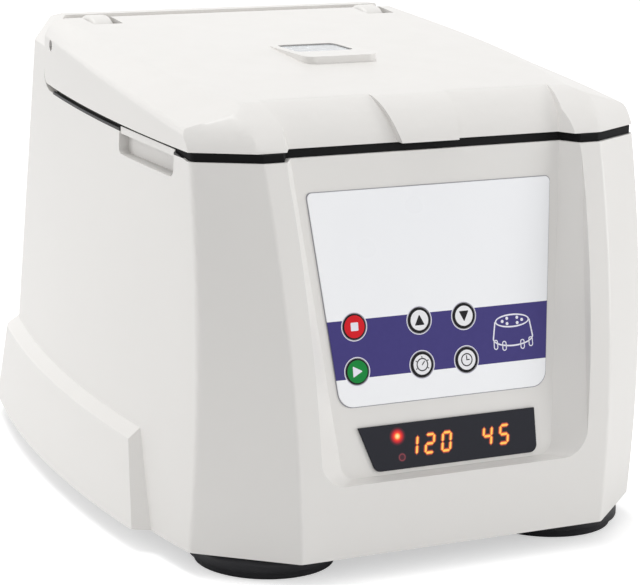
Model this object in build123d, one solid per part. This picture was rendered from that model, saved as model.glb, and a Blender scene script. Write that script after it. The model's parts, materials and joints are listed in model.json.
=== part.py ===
from build123d import *
import os
from math import atan2, cos, pi, radians, sin, sqrt, tan

# A small bench centrifuge for tubes, in millimetres, with X to the right, Y to the back and Z up.
# Pieces are drawn from the middle of the housing's lower front edge, at the height of that edge.
# When each piece is written it is moved, so that the part's origin is at the middle of its base,
# on the surface that the feet stand on.

# Whole object
foot_height = 11.0
seam_height = 186.2
wall = 3.0
running_gap = 0.05
press_gap = 0.02
loose_gap = 0.3
seat_gap = 0.05
cut_reach = 60.0

# Housing outline in plan, at its lower edge and at the seam
pillar_half_base = 84.0
pillar_half_seam = 93.0
corner_half_base = 125.0
corner_half_seam = 123.5
belly_half_base = 124.8
belly_half_seam = 117.4
rear_half_base = 92.8
rear_half_seam = 95.8
rear_depth_base = 349.0
rear_set_in = 30.0
straight_front = 15.0
front_arc_radius = 488.0
corner_nearest = 33.0
corner_near_height = 65.0
corner_arc_radius = 523.0
pillar_round = 4.0
corner_round = 5.0
rear_round = 26.0
chamfer_turn = 19.0
side_turn = 26.0
section_heights = [0.0, 15.0, 60.0, 100.0, 140.0, seam_height]

# Skirt round the lower sides and back
skirt_out_low = 7.8
skirt_out_high = 5.4
skirt_shoulder = 42.3
skirt_top = 48.0
skirt_tuck = 0.4
skirt_start = 74.0
skirt_ramp = 4.4
skirt_lean = 18.5

# Raised edge of the housing's sides at the seam, outside the seal
lip_rise = 2.2
lip_width = 1.3
lip_start = 50.0
lip_full = 62.0

# Fixed rear cowl above the seam, and the hinge line in it
cowl_height = 40.0
cowl_gap = 1.5
cowl_root_gap = 1.3
cowl_flat = 5.0
cowl_fall = 10.0
cowl_root = 6.0
cowl_side_drop = 17.0
cowl_side_run = 9.0
hinge_from_rear = 65.0
hinge_height = 211.9
hinge_round = 14.1
hinge_lower_round = 23.2
lid_open_angle = 80.0

# Lid
lid_gap = 4.3
lid_wall = 2.6
lid_loft_sections = 6
crease_front = 199.0
crease_rise = 26.0
crease_droop = 10.0
crease_start = 48.0
crease_run = 207.0
top_front_height = 210.0
top_front_depth = 57.0
top_slope = 0.0815
top_half_widest = 105.2
top_widest_depth = 200.0
top_side_curve = 0.00074
crease_round = 4.0
brow_round = 20.0
lid_front_lean = 20.0
lid_front_run = 32.0
lid_front_level = 11.0
lid_corner_run = 32.0
lid_corner_top = 213.5
lid_corner_lean = 14.0
lid_recess_run = 26.0
lid_recess_spread = 0.23
brow_lift = 0.4

# Console in the front, leaning back
console_lean = 11.75
console_depth = 21.6
console_height = 96.0
recess_floor_half = 64.8
recess_floor_spread = 0.1057
recess_mouth_half = 76.7
recess_mouth_spread = 0.052
recess_mouth_out = 10.0
recess_bottom = -61.5
recess_mouth_drop = 2.5
recess_top = 130.0
recess_outer = 22.0
recess_outer_spread = 1.0
recess_behind = 40.0
recess_floor_corner = 8.0
recess_mouth_corner = 11.0
label_half_top = 67.6
label_half_bottom = 57.1
label_top = 75.2
label_bottom = -27.4
label_thickness = 0.8
window_left_top = -49.0
window_left_bottom = -40.8
window_right = 49.8
window_top = -37.6
window_bottom = -59.6
window_thickness = 1.2

# Keys on the label, by column and row
key_radius = 6.1
key_travel = 0.5
key_row = 10.7
key_columns = {("stop", "start"): -47.1, ("up", "mode"): -11.6, ("down", "timer"): 13.25}
key_stem_radius = 2.0
key_hole_gap = 0.15

# Digits behind the window
digit_pitch = 8.0
digit_height = 10.0
speed_digits_centre = -8.7
timer_digits_centre = 27.6
digits_row = -48.6
lamp_radius = 1.5
lamp_x = -27.2
lamp_rows = (-43.6, -53.6)
board_front = -9.8
board_thickness = 1.6
board_half = 60.0
board_low = -61.0
board_high = 24.0

# Finger pockets in the sides, under the lid
pocket_front = 64.0
pocket_rear = 132.0
pocket_low = 176.0
pocket_depth = 7.0
pocket_round = 4.0
pocket_top_gap = 1.0

# Chamber, rotor and drive
chamber_from_hinge = 106.0
chamber_radius = 90.0
bowl_wall = 1.2
bowl_floor = 74.0
bowl_corner = 14.0
bowl_flange = 4.0
deck_thickness = 3.0
boot_hole_radius = 14.0
boot_lip = 4.0
boot_lip_thickness = 1.8
shaft_radius = 5.0
shaft_low = 16.0
shaft_top = 179.0
tube_angle = 33.0
tube_count = 6
tube_mouth_radius = 30.0
tube_mouth_height = 164.0
sleeve_radius = 8.6
sleeve_wall = 1.1
sleeve_length = 84.0
sleeve_flange_radius = 10.8
sleeve_flange = 2.0
sleeve_gap = 0.2
sleeve_cone = 12.0
sleeve_tip_radius = 3.0
rotor_plate = 13.0
rotor_rim_radius = 66.0
hub_radius = 15.0
hub_low = 112.0
hub_top = 175.0
nut_radius = 10.0
nut_top = 184.0
flute_count = 8
flute_radius = 2.8
flute_depth = 1.2
motor_radius = 37.0
motor_wall = 2.5
motor_height = 40.0
stator_bore = 25.0
air_gap = 1.0
core_room = 11.0
bearing_radius = 11.0
bearing_width = 7.0
mount_plate_side = 112.0
mount_plate_thickness = 3.0
mount_plate_corner = 18.0
damper_radius = 8.0
damper_height = 18.5
damper_spacing = 42.0
base_thickness = 2.5

# Screws that hold the base plate to bosses on the housing's side walls
base_screw_places = [(114.0, 105.0), (106.0, 225.0)]
boss_radius = 5.0
boss_height = 28.0
screw_radius = 1.8
screw_hole_gap = 0.1
screw_head = 2.0

# Feet
foot_radius = 37.3
foot_tread_radius = 34.3
foot_tread_width = 7.0
foot_step = 4.0
foot_hollow = 6.0
foot_front_x = 80.0
foot_front_y = 47.0
foot_rear_x = 66.0
foot_rear_y = 286.0

# Liner under the lid
liner_inset = 7.5
liner_recess_gap = 1.6
liner_notch_gap = 0.4
liner_hole_length = 12.0
liner_rise = 0.7
liner_thickness = 2.2
liner_post_radius = 4.0
liner_post_places = [(95.0, 62.0), (104.0, 150.0), (52.0, 66.0), (40.0, 240.0)]

# Sight port in the lid
port_from_chamber = 11.0
port_half_width = 13.5
port_half_length = 9.5
port_corner = 3.0
bezel_half_width = 21.0
bezel_front = 128.0
bezel_rear = 174.0
bezel_corner = 6.0
bezel_thickness = 4.5
pane_thickness = 2.0
pane_margin = 3.0
pane_sink = 0.6
pane_side_gap = 0.1
port_tube_wall = 2.0

# Hinge knuckles, pins and lugs
knuckle_centre = 82.0
knuckle_width = 14.0
knuckle_radius = 15.4
knuckle_clearance = 1.4
knuckle_dome = 3.5
arm_below = 9.0
arm_above = 7.0
pin_radius = 3.0
lug_width = 5.0
lug_top_gap = 1.6
lug_reach = 18.0

# Grip tab and lock at the front of the lid
tab_half_bottom = 15.9
tab_spread = 0.2
tab_out = 4.2
tab_reach_down = 10.0
striker_thickness = 3.0
striker_front = 49.4
striker_width = 6.0
striker_foot_half = 9.0
striker_low = 166.0
striker_window = 4.0
striker_window_low = 169.0
striker_slot_gap = 3.9
bolt_radius = 1.7
bolt_travel = 8.0
bolt_end = 3.0
solenoid_start = 14.0
solenoid_length = 34.0
solenoid_side = 12.5
bolt_stroke_room = 20.0

# Rear fittings, on the leaning back wall
fan_side = 60.0
fan_thickness = 15.0
fan_height = 118.0
fan_hub_radius = 12.0
fan_blade_radius = 26.5
fan_blades = 7
fan_blade_turn = 34.0
fan_blade_thickness = 1.2
fan_tip_gap = 1.5
fan_corner = 5.0
fan_spider = 2.0
fan_slot_count = 9
fan_slot_width = 2.8
fitting_gap = 0.2
inlet_height = 66.0
inlet_x = 39.0
inlet_width = 27.6
inlet_tall = 19.6
inlet_flange_width = 50.0
inlet_flange_tall = 24.0
inlet_depth = 20.0
inlet_flange_thickness = 2.5
inlet_well_width = 24.0
inlet_well_tall = 16.0
inlet_well_depth = 14.0
inlet_pin_places = [(0.0, 3.4), (-7.0, -2.0), (7.0, -2.0)]
inlet_pin_length = 12.0
inlet_screw_x = 20.0
inlet_screw_radius = 1.6
switch_height = 66.0
switch_x = 0.0
switch_width = 13.0
switch_tall = 19.5
switch_swing = 16.0
switch_depth = 14.0
switch_wall = 1.2
switch_floor = 5.0
rocker_rise = 3.4
rocker_dip = 1.0
rocker_keel = 5.0
fuse_height = 66.0
fuse_x = -32.0
fuse_radius = 6.0
fuse_depth = 24.0
fuse_cap_tall = 5.0
fuse_cap_rim = 1.5

# Power board and transformer on the base plate
power_board_low = (4.0, 214.0)
power_board_high = (86.0, 272.0)
power_board_lift = 5.5
capacitor_radius = 8.0
capacitor_tall = 30.0
capacitor_places = [(14.0, 12.0), (34.0, 12.0)]
heat_sink_low = (50.0, 6.0)
heat_sink_high = (74.0, 32.0)
heat_sink_floor = 3.4
fin_count = 5
fin_pitch = 5.5
fin_thickness = 2.0
fin_tall = 26.0
transformer_low = (-86.0, 216.0)
transformer_high = (-28.0, 262.0)
transformer_tall = 43.5

# Seal round the seam
gasket_inset = 1.4
gasket_width = 3.0
gasket_end_gap = 9.0

# Seal under the lid round the chamber, from the chamber's wall
seal_in = -0.2
seal_out = 2.2

base_up = (Align.CENTER, Align.CENTER, Align.MIN)
lean = radians(console_lean)
body_depth = rear_depth_base + skirt_out_low
rear_depth_seam = rear_depth_base - rear_set_in
rear_lean = atan2(rear_set_in, seam_height)
hinge_depth = rear_depth_seam - hinge_from_rear
chamber_depth = hinge_depth - chamber_from_hinge
port_depth = chamber_depth + port_from_chamber
deck_low = seam_height - deck_thickness
lid_low = seam_height + lid_gap
liner_low = lid_low + liner_rise
mount_plate_low = base_thickness + damper_height
motor_low = mount_plate_low + mount_plate_thickness
motor_high = motor_low + motor_height
pin_height = striker_window_low + striker_window / 2
pin_depth = striker_front + striker_width / 2


def mix(low, high, share):
    return low + (high - low) * share


def front_set_back(height):
    rise = max(height - straight_front, 0.0)
    return front_arc_radius - sqrt(front_arc_radius**2 - rise**2)


def corner_set_back(height):
    return corner_nearest + (height - corner_near_height) ** 2 / (2 * corner_arc_radius)


def rear_depth_at(height):
    return mix(rear_depth_base, rear_depth_seam, height / seam_height)


def plan_points(height, inset=0.0):
    """Corner points of the right half of the plan outline, front to back, drawn in by inset."""
    share = height / seam_height
    pillar = (
        mix(pillar_half_base, pillar_half_seam, share) - inset * tan(radians(chamfer_turn)),
        front_set_back(height) + inset,
    )
    corner = (
        mix(corner_half_base, corner_half_seam, share) - inset,
        corner_set_back(height) + inset * tan(radians(side_turn)),
    )
    rear = (mix(rear_half_base, rear_half_seam, share) - inset, rear_depth_at(height) - inset)
    belly = (mix(belly_half_base, belly_half_seam, share) - inset, (corner[1] + rear[1]) / 2)
    return pillar, corner, belly, rear


def rounded(face, rounds):
    """Rounds the corners of a face that lie nearest to given places."""
    for place, radius in rounds:
        near = sorted(face.vertices(), key=lambda v: (v.X - place[0]) ** 2 + (v.Y - place[1]) ** 2)[0]
        face = fillet([near], radius)
    return face


def plan_outline(height, inset=0.0):
    pillar, corner, belly, rear = plan_points(height, inset)
    flip = lambda point: (-point[0], point[1])
    edges = [
        Line(flip(pillar), pillar),
        Line(pillar, corner),
        ThreePointArc(corner, belly, rear),
        Line(rear, flip(rear)),
        ThreePointArc(flip(rear), flip(belly), flip(corner)),
        Line(flip(corner), flip(pillar)),
    ]
    face = make_face(edges)
    inner = lambda radius: max(radius - inset, 1.0)
    rounds = []
    for point, radius in [(pillar, pillar_round), (corner, corner_round), (rear, rear_round)]:
        rounds.append((point, inner(radius)))
        rounds.append((flip(point), inner(radius)))
    return Pos(0, 0, height) * rounded(face, rounds)


def body_loft(heights, inset=0.0):
    return loft([plan_outline(height, inset) for height in heights])


def box_between(low, high):
    size = [b - a for a, b in zip(low, high)]
    return Pos(*low) * Box(*size, align=(Align.MIN, Align.MIN, Align.MIN))


def mirrored(shape):
    return mirror(shape, about=Plane.YZ)


def pair(shapes):
    """The given shapes of the right side together with their mirror images."""
    return Compound(children=shapes + [mirrored(shape) for shape in shapes])


def rod_x(x_low, x_high, depth, height, radius):
    plane = Plane(origin=(x_low, depth, height), x_dir=(0, 1, 0), z_dir=(1, 0, 0))
    return plane * Cylinder(radius, x_high - x_low, align=base_up)


def post(x, y, low, high, radius):
    return Pos(x, y, low) * Cylinder(radius, high - low, align=base_up)


# Console plane: across is X, up runs up the leaning panel, out points to the front
console = Plane(origin=(0, console_depth, console_height), x_dir=(1, 0, 0), z_dir=(0, -cos(lean), sin(lean)))


def console_box(across_low, across_high, up_low, up_high, out_low, out_high):
    return console * box_between((across_low, up_low, out_low), (across_high, up_high, out_high))


def trapezoid(half_low, half_high, low, high, corner=0.0):
    face = make_face(Polyline((-half_low, low), (half_low, low), (half_high, high), (-half_high, high), close=True))
    if corner > 0:
        face = rounded(face, [((-half_low, low), corner), ((half_low, low), corner)])
    return face


def console_recess(grow=0.0):
    """Sunk panel between the pillars, widening outwards, which runs on up through the lid's front."""
    def section(half, spread, low, corner, out):
        half_low = half + spread * low + grow
        half_high = half + spread * recess_top + grow
        return console.offset(out) * trapezoid(half_low, half_high, low - grow, recess_top, corner)

    low, mouth_low = recess_bottom, recess_bottom - recess_mouth_drop
    mouth_out, mouth_corner = recess_mouth_out, recess_mouth_corner
    outer_half, outer_low = recess_mouth_half + recess_outer_spread, mouth_low - recess_outer_spread / 2
    floor_face = section(recess_floor_half, recess_floor_spread, low, recess_floor_corner, -grow)
    mouth_face = section(recess_mouth_half, recess_mouth_spread, mouth_low, mouth_corner, mouth_out)
    outer_face = section(outer_half, recess_mouth_spread, outer_low, mouth_corner, mouth_out + recess_outer)
    return loft([floor_face, mouth_face], ruled=True) + loft([mouth_face, outer_face], ruled=True)


def pocket(side, grow=0.0):
    """Finger pocket under the lid's side edge."""
    inner = corner_half_seam - pocket_depth - grow
    low = (inner, pocket_front - grow, pocket_low - grow)
    high = (corner_half_seam + cut_reach, pocket_rear + grow, lid_low - pocket_top_gap)
    cut = box_between(low, high)
    lower_edges = cut.edges().filter_by(Axis.X).sort_by(Axis.Z)[:2]
    cut = fillet(lower_edges, pocket_round)
    return cut if side > 0 else mirrored(cut)


# Housing: skirt and cowl
cowl_front = hinge_depth + hinge_round + cowl_gap
cowl_top = seam_height + cowl_height
cowl_shoulder = cowl_top - cowl_side_drop
beyond = body_depth + 50.0


def skirt():
    lower = plan_outline(0.0, -skirt_out_low)
    shoulder = plan_outline(skirt_shoulder, -skirt_out_high)
    top = plan_outline(skirt_top, skirt_tuck)
    form = loft([lower, shoulder], ruled=True) + loft([shoulder, top], ruled=True)
    reach = 2 * skirt_out_low

    def region(height):
        start = skirt_start + height * tan(radians(skirt_lean))
        start_in = (corner_half_base + 1.0, start)
        start_out = (start_in[0] + reach, start + skirt_ramp * reach / skirt_out_low)
        return Pos(0, 0, height) * make_face(Polyline(
            (-start_out[0], start_out[1]), (-start_in[0], start_in[1]), start_in, start_out,
            (start_out[0], beyond), (-start_out[0], beyond), close=True))

    return form & loft([region(0.0), region(skirt_top + 5.0)], ruled=True)


def side_view(edges):
    """Region with the given edges in a side view, as a prism right across the object."""
    plane = Plane(origin=(-beyond / 2, 0, 0), x_dir=(0, 1, 0), z_dir=(1, 0, 0))
    return extrude(plane * make_face(edges), beyond)


def seam_lip():
    """Raised edge along both sides, which starts gently behind the front corners."""
    low, high, root = seam_height - 1.0, seam_height + lip_rise, hinge_depth - cowl_root
    form = extrude(plan_outline(seam_height), lip_rise) - extrude(plan_outline(seam_height, lip_width), lip_rise)
    return form & side_view(Polyline(
        (lip_start, low), (lip_start, seam_height), (lip_full, high), (root, high), (root, low), close=True).edges())


def cowl_form(inset=0.0):
    """Hood behind the lid, with a top that falls to the back, drawn in by inset."""
    low = seam_height - 1.0 if inset == 0 else deck_low - 1.0
    shoulder = cowl_shoulder - inset
    sides = body_loft([low, shoulder], inset)
    top = loft([plan_outline(shoulder, inset), plan_outline(cowl_top, cowl_side_run + inset)], ruled=True)
    start = hinge_depth - 2 * cowl_root
    fall_end = (rear_depth_seam + 5.0, cowl_top - cowl_fall - inset)
    below = side_view(Polyline(
        (start, low), (start, cowl_top - inset), (cowl_front + cowl_flat, cowl_top - inset), fall_end,
        (fall_end[0], low), close=True).edges())
    return (sides + top) & below


def cowl():
    """Fixed hood, cut out in front so that the opening lid clears it, and hollow from below."""
    turn = radians(90.0 - lid_open_angle) + atan2(top_slope, 1.0)
    reach = hinge_round + cowl_gap
    touch = (hinge_depth + reach * cos(turn), hinge_height + reach * sin(turn))
    front_top = hinge_depth + (reach - (cowl_top - hinge_height) * sin(turn)) / cos(turn)
    trough = hinge_lower_round + cowl_root_gap
    meet = (cowl_front, hinge_height - sqrt(trough**2 - reach**2))
    middle = atan2(hinge_height - meet[1], reach) / 2 + pi / 4
    root = (hinge_depth - cowl_root, hinge_height - trough)
    above = cowl_top + 10.0
    lid_room = side_view([
        Line((root[0], above), (root[0] - 20.0, above)),
        Line((root[0] - 20.0, above), (root[0] - 20.0, seam_height - 5.0)),
        Line((root[0] - 20.0, seam_height - 5.0), (root[0], seam_height - 5.0)),
        Line((root[0], seam_height - 5.0), root),
        Line(root, (hinge_depth, root[1])),
        ThreePointArc((hinge_depth, root[1]), (hinge_depth + trough * cos(middle),
                      hinge_height - trough * sin(middle)), meet),
        Line(meet, (cowl_front, hinge_height)),
        ThreePointArc((cowl_front, hinge_height), (hinge_depth + reach * cos(turn / 2),
                      hinge_height + reach * sin(turn / 2)), touch),
        Line(touch, (front_top, cowl_top)),
        Line((front_top, cowl_top), (front_top, above)),
        Line((front_top, above), (root[0], above)),
    ])
    return cowl_form() - lid_room


def cowl_hollow():
    return cowl_form(wall) & box_between((-beyond, cowl_front + wall, 0.0), (beyond, beyond, cowl_top))


def side_circle():
    """Centre and radius, in plan, of the arc that the right side follows at the seam."""
    _, corner, belly, rear = plan_points(seam_height)
    (x1, y1), (x2, y2), (x3, y3) = corner, belly, rear
    d = 2 * (x1 * (y2 - y3) + x2 * (y3 - y1) + x3 * (y1 - y2))
    q1, q2, q3 = x1 * x1 + y1 * y1, x2 * x2 + y2 * y2, x3 * x3 + y3 * y3
    centre_x = (q1 * (y2 - y3) + q2 * (y3 - y1) + q3 * (y1 - y2)) / d
    centre_y = (q1 * (x3 - x2) + q2 * (x1 - x3) + q3 * (x2 - x1)) / d
    return centre_x, centre_y, sqrt((x1 - centre_x) ** 2 + (y1 - centre_y) ** 2)


def side_half(depth):
    centre_x, centre_y, radius = side_circle()
    return centre_x + sqrt(radius**2 - (depth - centre_y) ** 2)


def crease_height(depth):
    share = (depth - crease_start) / crease_run
    return crease_front + crease_rise * share - crease_droop * share**2


def top_height(depth):
    return top_front_height + top_slope * (depth - top_front_depth)


def top_half(depth):
    return top_half_widest - top_side_curve * (depth - top_widest_depth) ** 2


def lid_section(depth, inset=0.0, low=None):
    low = lid_low if low is None else low
    side = side_half(depth) - inset
    crease = crease_height(depth) - inset * 0.9
    brow = top_half(depth) - inset * 0.5
    top = top_height(depth) - inset
    face = make_face(Polyline(
        (-side, low), (side, low), (side, crease), (brow, top), (-brow, top), (-side, crease), close=True))
    bevel = sqrt((side - brow) ** 2 + (top - crease) ** 2)
    bevel_turn = atan2(top - crease, side - brow)
    soft = min(brow_round, 0.6 * bevel / tan(bevel_turn / 2))
    inner = max(crease_round - inset, 1.0)
    face = rounded(face, [((side, crease), inner), ((-side, crease), inner),
                          ((brow, top), soft), ((-brow, top), soft)])
    plane = Plane(origin=(0, depth, 0), x_dir=(1, 0, 0), z_dir=(0, -1, 0))
    return plane * face


def brow_curve(start, run, lean_low, lift):
    """Edges of a side view that follow a brow from the lid's lower edge up to its top."""
    end = (start[0] + run, top_height(start[0] + run) + lift)
    low, level = radians(lean_low), radians(lid_front_level)
    tangents = [(sin(low), cos(low)), (cos(level), sin(level))]
    rise = Spline([start, end], tangents=tangents, tangent_scalars=[0.85, 1.0])
    above, before = cowl_top + cut_reach, -cut_reach
    rest = Polyline(end, (end[0], above), (before, above), (before, start[1]), start)
    return [rise] + list(rest.edges())


def lid_front_cut(inset=0.0):
    """Region in front of the lid's rounded brow."""
    start = (front_set_back(seam_height) + 0.5 + inset, lid_low - lid_gap)
    return side_view(brow_curve(start, lid_front_run, lid_front_lean, brow_lift - inset))


def lid_corner_cut(inset=0.0):
    """Region outside the lid's right front chamfer."""
    pillar, corner, _, _ = plan_points(seam_height, inset)
    along = (corner[0] - pillar[0], corner[1] - pillar[1])
    length = sqrt(along[0] ** 2 + along[1] ** 2)
    along = (along[0] / length, along[1] / length)
    inward = (-along[1], along[0])
    low, above = lid_low - lid_gap, cowl_top + cut_reach
    end = (lid_corner_run, lid_corner_top - inset)
    lean_low, level = radians(lid_corner_lean), radians(lid_front_level)
    tangents = [(sin(lean_low), cos(lean_low)), (cos(level), sin(level))]
    rise = Spline([(0.0, low), end], tangents=tangents, tangent_scalars=[0.9, 1.0])
    rest = Polyline(end, (end[0], above), (-cut_reach, above), (-cut_reach, low), (0.0, low))
    face = make_face([rise] + list(rest.edges()))
    before = beyond / 2
    origin = (pillar[0] - along[0] * before, pillar[1] - along[1] * before, 0)
    plane = Plane(origin=origin, x_dir=(inward[0], inward[1], 0), z_dir=(inward[1], -inward[0], 0))
    return extrude(plane * face, beyond)


def lid_rear_keep(reduce=0.0):
    """Region that the lid may fill at its rear, so that it turns about the hinge without touching."""
    upper = rod_x(-beyond, beyond, hinge_depth, hinge_height, hinge_round - reduce)
    lower = rod_x(-beyond, beyond, hinge_depth, hinge_height, hinge_lower_round - reduce)
    rear_low = (-beyond, hinge_depth, deck_low)
    lower = lower & box_between(rear_low, (beyond, hinge_depth + hinge_round - reduce, hinge_height))
    front_part = box_between((-beyond, -cut_reach, deck_low), (beyond, hinge_depth, cowl_top + cut_reach))
    return front_part + upper + lower


def lid_form(inset=0.0, low=None):
    first, last = 10.0, hinge_depth + hinge_round + wall
    depths = [mix(first, last, number / (lid_loft_sections - 1)) for number in range(lid_loft_sections)]
    form = loft([lid_section(depth, inset, low) for depth in depths])
    corner_cut = lid_corner_cut(inset)
    form = form - lid_front_cut(inset) - corner_cut - mirrored(corner_cut)
    return form & lid_rear_keep(inset)


def lid_recess_front(out, grow=0.0):
    """Region in front of a brow that rises from the panel plane, moved out from it."""
    low = lid_low - lid_gap
    start = (console_depth + (low - console_height) * tan(lean) - out / cos(lean) + grow, low)
    return side_view(brow_curve(start, lid_recess_run, console_lean, brow_lift - grow))


def lid_recess(grow=0.0):
    """Sunk panel, which goes on up the lid's front, widens and fades out over its brow."""
    level = (lid_low - console_height) / cos(lean)
    low = level - tab_reach_down

    def section(half, spread):
        half_seam = half + spread * level + grow
        half_low = half_seam - lid_recess_spread * tab_reach_down
        return trapezoid(half_low, half_seam + lid_recess_spread * (recess_top - level), low, recess_top)

    floor_section = section(recess_floor_half, recess_floor_spread)
    mouth_section = section(recess_mouth_half, recess_mouth_spread)
    outer_section = section(recess_mouth_half + recess_outer_spread, recess_mouth_spread)
    floor_face = console.offset(-grow) * floor_section
    mouth_face = console.offset(recess_mouth_out) * mouth_section
    outer_face = console.offset(recess_mouth_out + recess_outer) * outer_section
    form = loft([floor_face, mouth_face], ruled=True) + loft([mouth_face, outer_face], ruled=True)
    form = form + extrude(console.offset(-recess_behind) * floor_section, recess_behind - grow)
    return (form & lid_recess_front(0.0, grow)) - tab_block(grow)


def tab_block(reduce=0.0):
    """Grip tab, standing proud of the sunk panel in the middle of the lid's front."""
    low = (lid_low - console_height) / cos(lean) - tab_reach_down
    half_low = tab_half_bottom - tab_reach_down * tab_spread - reduce
    face = trapezoid(half_low, half_low + (recess_top - low) * tab_spread, low, recess_top)
    form = extrude(console.offset(-recess_behind) * face, recess_behind + recess_outer)
    return form - lid_recess_front(tab_out, reduce)


def hinge_notch(grow=0.0):
    half = knuckle_width / 2 + knuckle_clearance + grow
    front_face = hinge_depth - knuckle_radius - knuckle_clearance - grow
    right = box_between((knuckle_centre - half, front_face, deck_low),
                        (knuckle_centre + half, cowl_front + 20.0, cowl_top + cut_reach))
    return right + mirrored(right)


def port_slab(margin, thickness):
    """Rounded plate as large as the sight port with a margin all round."""
    return slab(2 * (port_half_width + margin), 2 * (port_half_length + margin), thickness, port_corner + margin / 3)


def bezel_top():
    return top_height(bezel_rear)


def pane_low():
    return bezel_top() - pane_sink - pane_thickness


def lid_shell():
    outside = lid_form()
    hollow = lid_form(lid_wall, lid_low - 1.0) - lid_recess(lid_wall) - hinge_notch(lid_wall)
    shell = outside - lid_recess() - hinge_notch() - hollow
    bezel = slab(2 * bezel_half_width, bezel_rear - bezel_front, bezel_thickness, bezel_corner)
    shell = shell + Pos(0, (bezel_front + bezel_rear) / 2, bezel_top() - bezel_thickness) * bezel
    rebate = port_slab(pane_margin + pane_side_gap, pane_thickness + 2 * pane_sink + seat_gap)
    shell = shell - Pos(0, port_depth, pane_low() - seat_gap) * rebate
    shell = shell - Pos(0, port_depth, lid_low) * port_slab(0.0, cut_reach)
    for x, y in liner_posts():
        stand = post(x, y, liner_low + liner_thickness, top_height(y) - lid_wall / 2, liner_post_radius)
        shell = shell + (stand & outside)
        shell = shell - post(x, y, liner_low, liner_low + liner_hole_length, screw_radius + screw_hole_gap)
    for side in (-1, 1):
        middle, reach = side * knuckle_centre, 2 * knuckle_width
        shell = shell - rod_x(middle - reach, middle + reach, hinge_depth, hinge_height, pin_radius + press_gap)
    return shell


def ring(outer, inner, low, high, x=0.0, y=None):
    y = chamber_depth if y is None else y
    return post(x, y, low, high, outer) - post(x, y, low - 1.0, high + 1.0, inner)


def turned(points, rounds=(), x=0.0, y=None):
    """Solid of revolution about an upright axis, from radius and height points."""
    y = chamber_depth if y is None else y
    face = rounded(make_face(Polyline(*points, close=True)), rounds)
    return Pos(x, y, 0) * revolve(Plane.XZ * face, Axis.Z)


def on_rear(height, x, out=0.0):
    """Plane on the leaning back wall, with its first axis to the viewer's right behind the object."""
    origin = (x, rear_depth_at(height), height)
    plane = Plane(origin=origin, x_dir=(-1, 0, 0), z_dir=(0, cos(rear_lean), sin(rear_lean)))
    return plane.offset(out)


def slab(width, tall, thickness, corner=0.0):
    """Plate centred on its plane's origin, standing up from it."""
    face = Rectangle(width, tall)
    if corner > 0:
        face = fillet(face.vertices(), corner)
    return extrude(face, thickness)


# Housing shell and what is cut in it
def console_cuts():
    """Slot for the digits and stepped holes for the key stems."""
    half_row = digit_height / 2 + 2.6
    left = speed_digits_centre - 1.5 * digit_pitch - 12.0
    right = timer_digits_centre + digit_pitch + 3.0
    cuts = console_box(left, right, digits_row - half_row, digits_row + half_row, -wall - 3.0, 1.0)
    for x, row in key_places():
        sink = Pos(x, row, -key_travel - 0.2) * Cylinder(key_radius + 0.4, 4.0, align=base_up)
        stem = Pos(x, row, -wall - 3.0) * Cylinder(key_stem_radius + 0.4, 6.0, align=base_up)
        cuts += console * (sink + stem)
    return cuts


def key_places():
    return [(x, row) for x in key_columns.values() for row in (key_row, -key_row)]


def striker_slot():
    half = striker_thickness / 2 + 1.5
    return box_between((-half, striker_front - striker_slot_gap, deck_low - 2.0),
                       (half, striker_front + striker_width + 1.5, seam_height + 1.0))


def fan_slots():
    """Row of slots over the fan, cut square to the back wall."""
    cuts = []
    for number in range(fan_slot_count):
        place = (number - (fan_slot_count - 1) / 2) * 2 * fan_slot_width
        half = sqrt((fan_blade_radius + fan_tip_gap) ** 2 - place**2)
        cuts.append(Pos(0, place, -2 * wall) * slab(2 * half, fan_slot_width, 3 * wall, fan_slot_width / 2 - 0.1))
    return [on_rear(fan_height, 0.0) * cut for cut in cuts]


def skirt_hollow():
    lower = plan_outline(0.0, wall - skirt_out_low)
    upper = plan_outline(skirt_shoulder - 1.0, wall - skirt_out_high)
    form = Pos(0, 0, -0.5) * loft([lower, upper], ruled=True)
    start = skirt_start + skirt_shoulder * tan(radians(skirt_lean)) + skirt_ramp + wall
    keep = box_between((-beyond, start, -5.0), (beyond, beyond, skirt_shoulder))
    return (form & keep) - body_loft([-2.0] + section_heights[1:4])


def housing_shell():
    body = body_loft(section_heights)
    form = body + skirt() + seam_lip() + cowl()
    cavity_heights = section_heights[:-1] + [deck_low]
    cavity = body_loft(cavity_heights, wall) - console_recess(wall) - pocket(1, wall) - pocket(-1, wall)
    shell = form - console_recess() - pocket(1) - pocket(-1) - cavity - cowl_hollow() - skirt_hollow()
    shell = shell - post(0, chamber_depth, 150.0, seam_height + 5.0, chamber_radius)
    shell = shell - console_cuts() - striker_slot()
    for slot in fan_slots():
        shell = shell - slot
    gap = 2 * fitting_gap
    shell = shell - on_rear(inlet_height, inlet_x, -2 * wall) * slab(inlet_width + gap, inlet_tall + gap, 4 * wall)
    shell = shell - on_rear(switch_height, switch_x, -2 * wall) * slab(switch_width + gap, switch_tall + gap, 4 * wall)
    fuse_hole = Cylinder(fuse_radius + fitting_gap, 4 * wall, align=base_up)
    shell = shell - on_rear(fuse_height, fuse_x, -2 * wall) * fuse_hole
    for x, y in base_screw_places:
        for side in (-1, 1):
            boss = post(side * x, y, base_thickness + seat_gap, boss_height, boss_radius)
            low = (min(side * x, side * (x + 16.0)), y - 2.0, base_thickness + seat_gap)
            rib = box_between(low, (low[0] + 16.0, y + 2.0, boss_height)) & body
            hole = post(side * x, y, base_thickness - 1.0, boss_height - 4.0, screw_radius + screw_hole_gap)
            shell = shell + boss + rib - hole
    return shell


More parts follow.
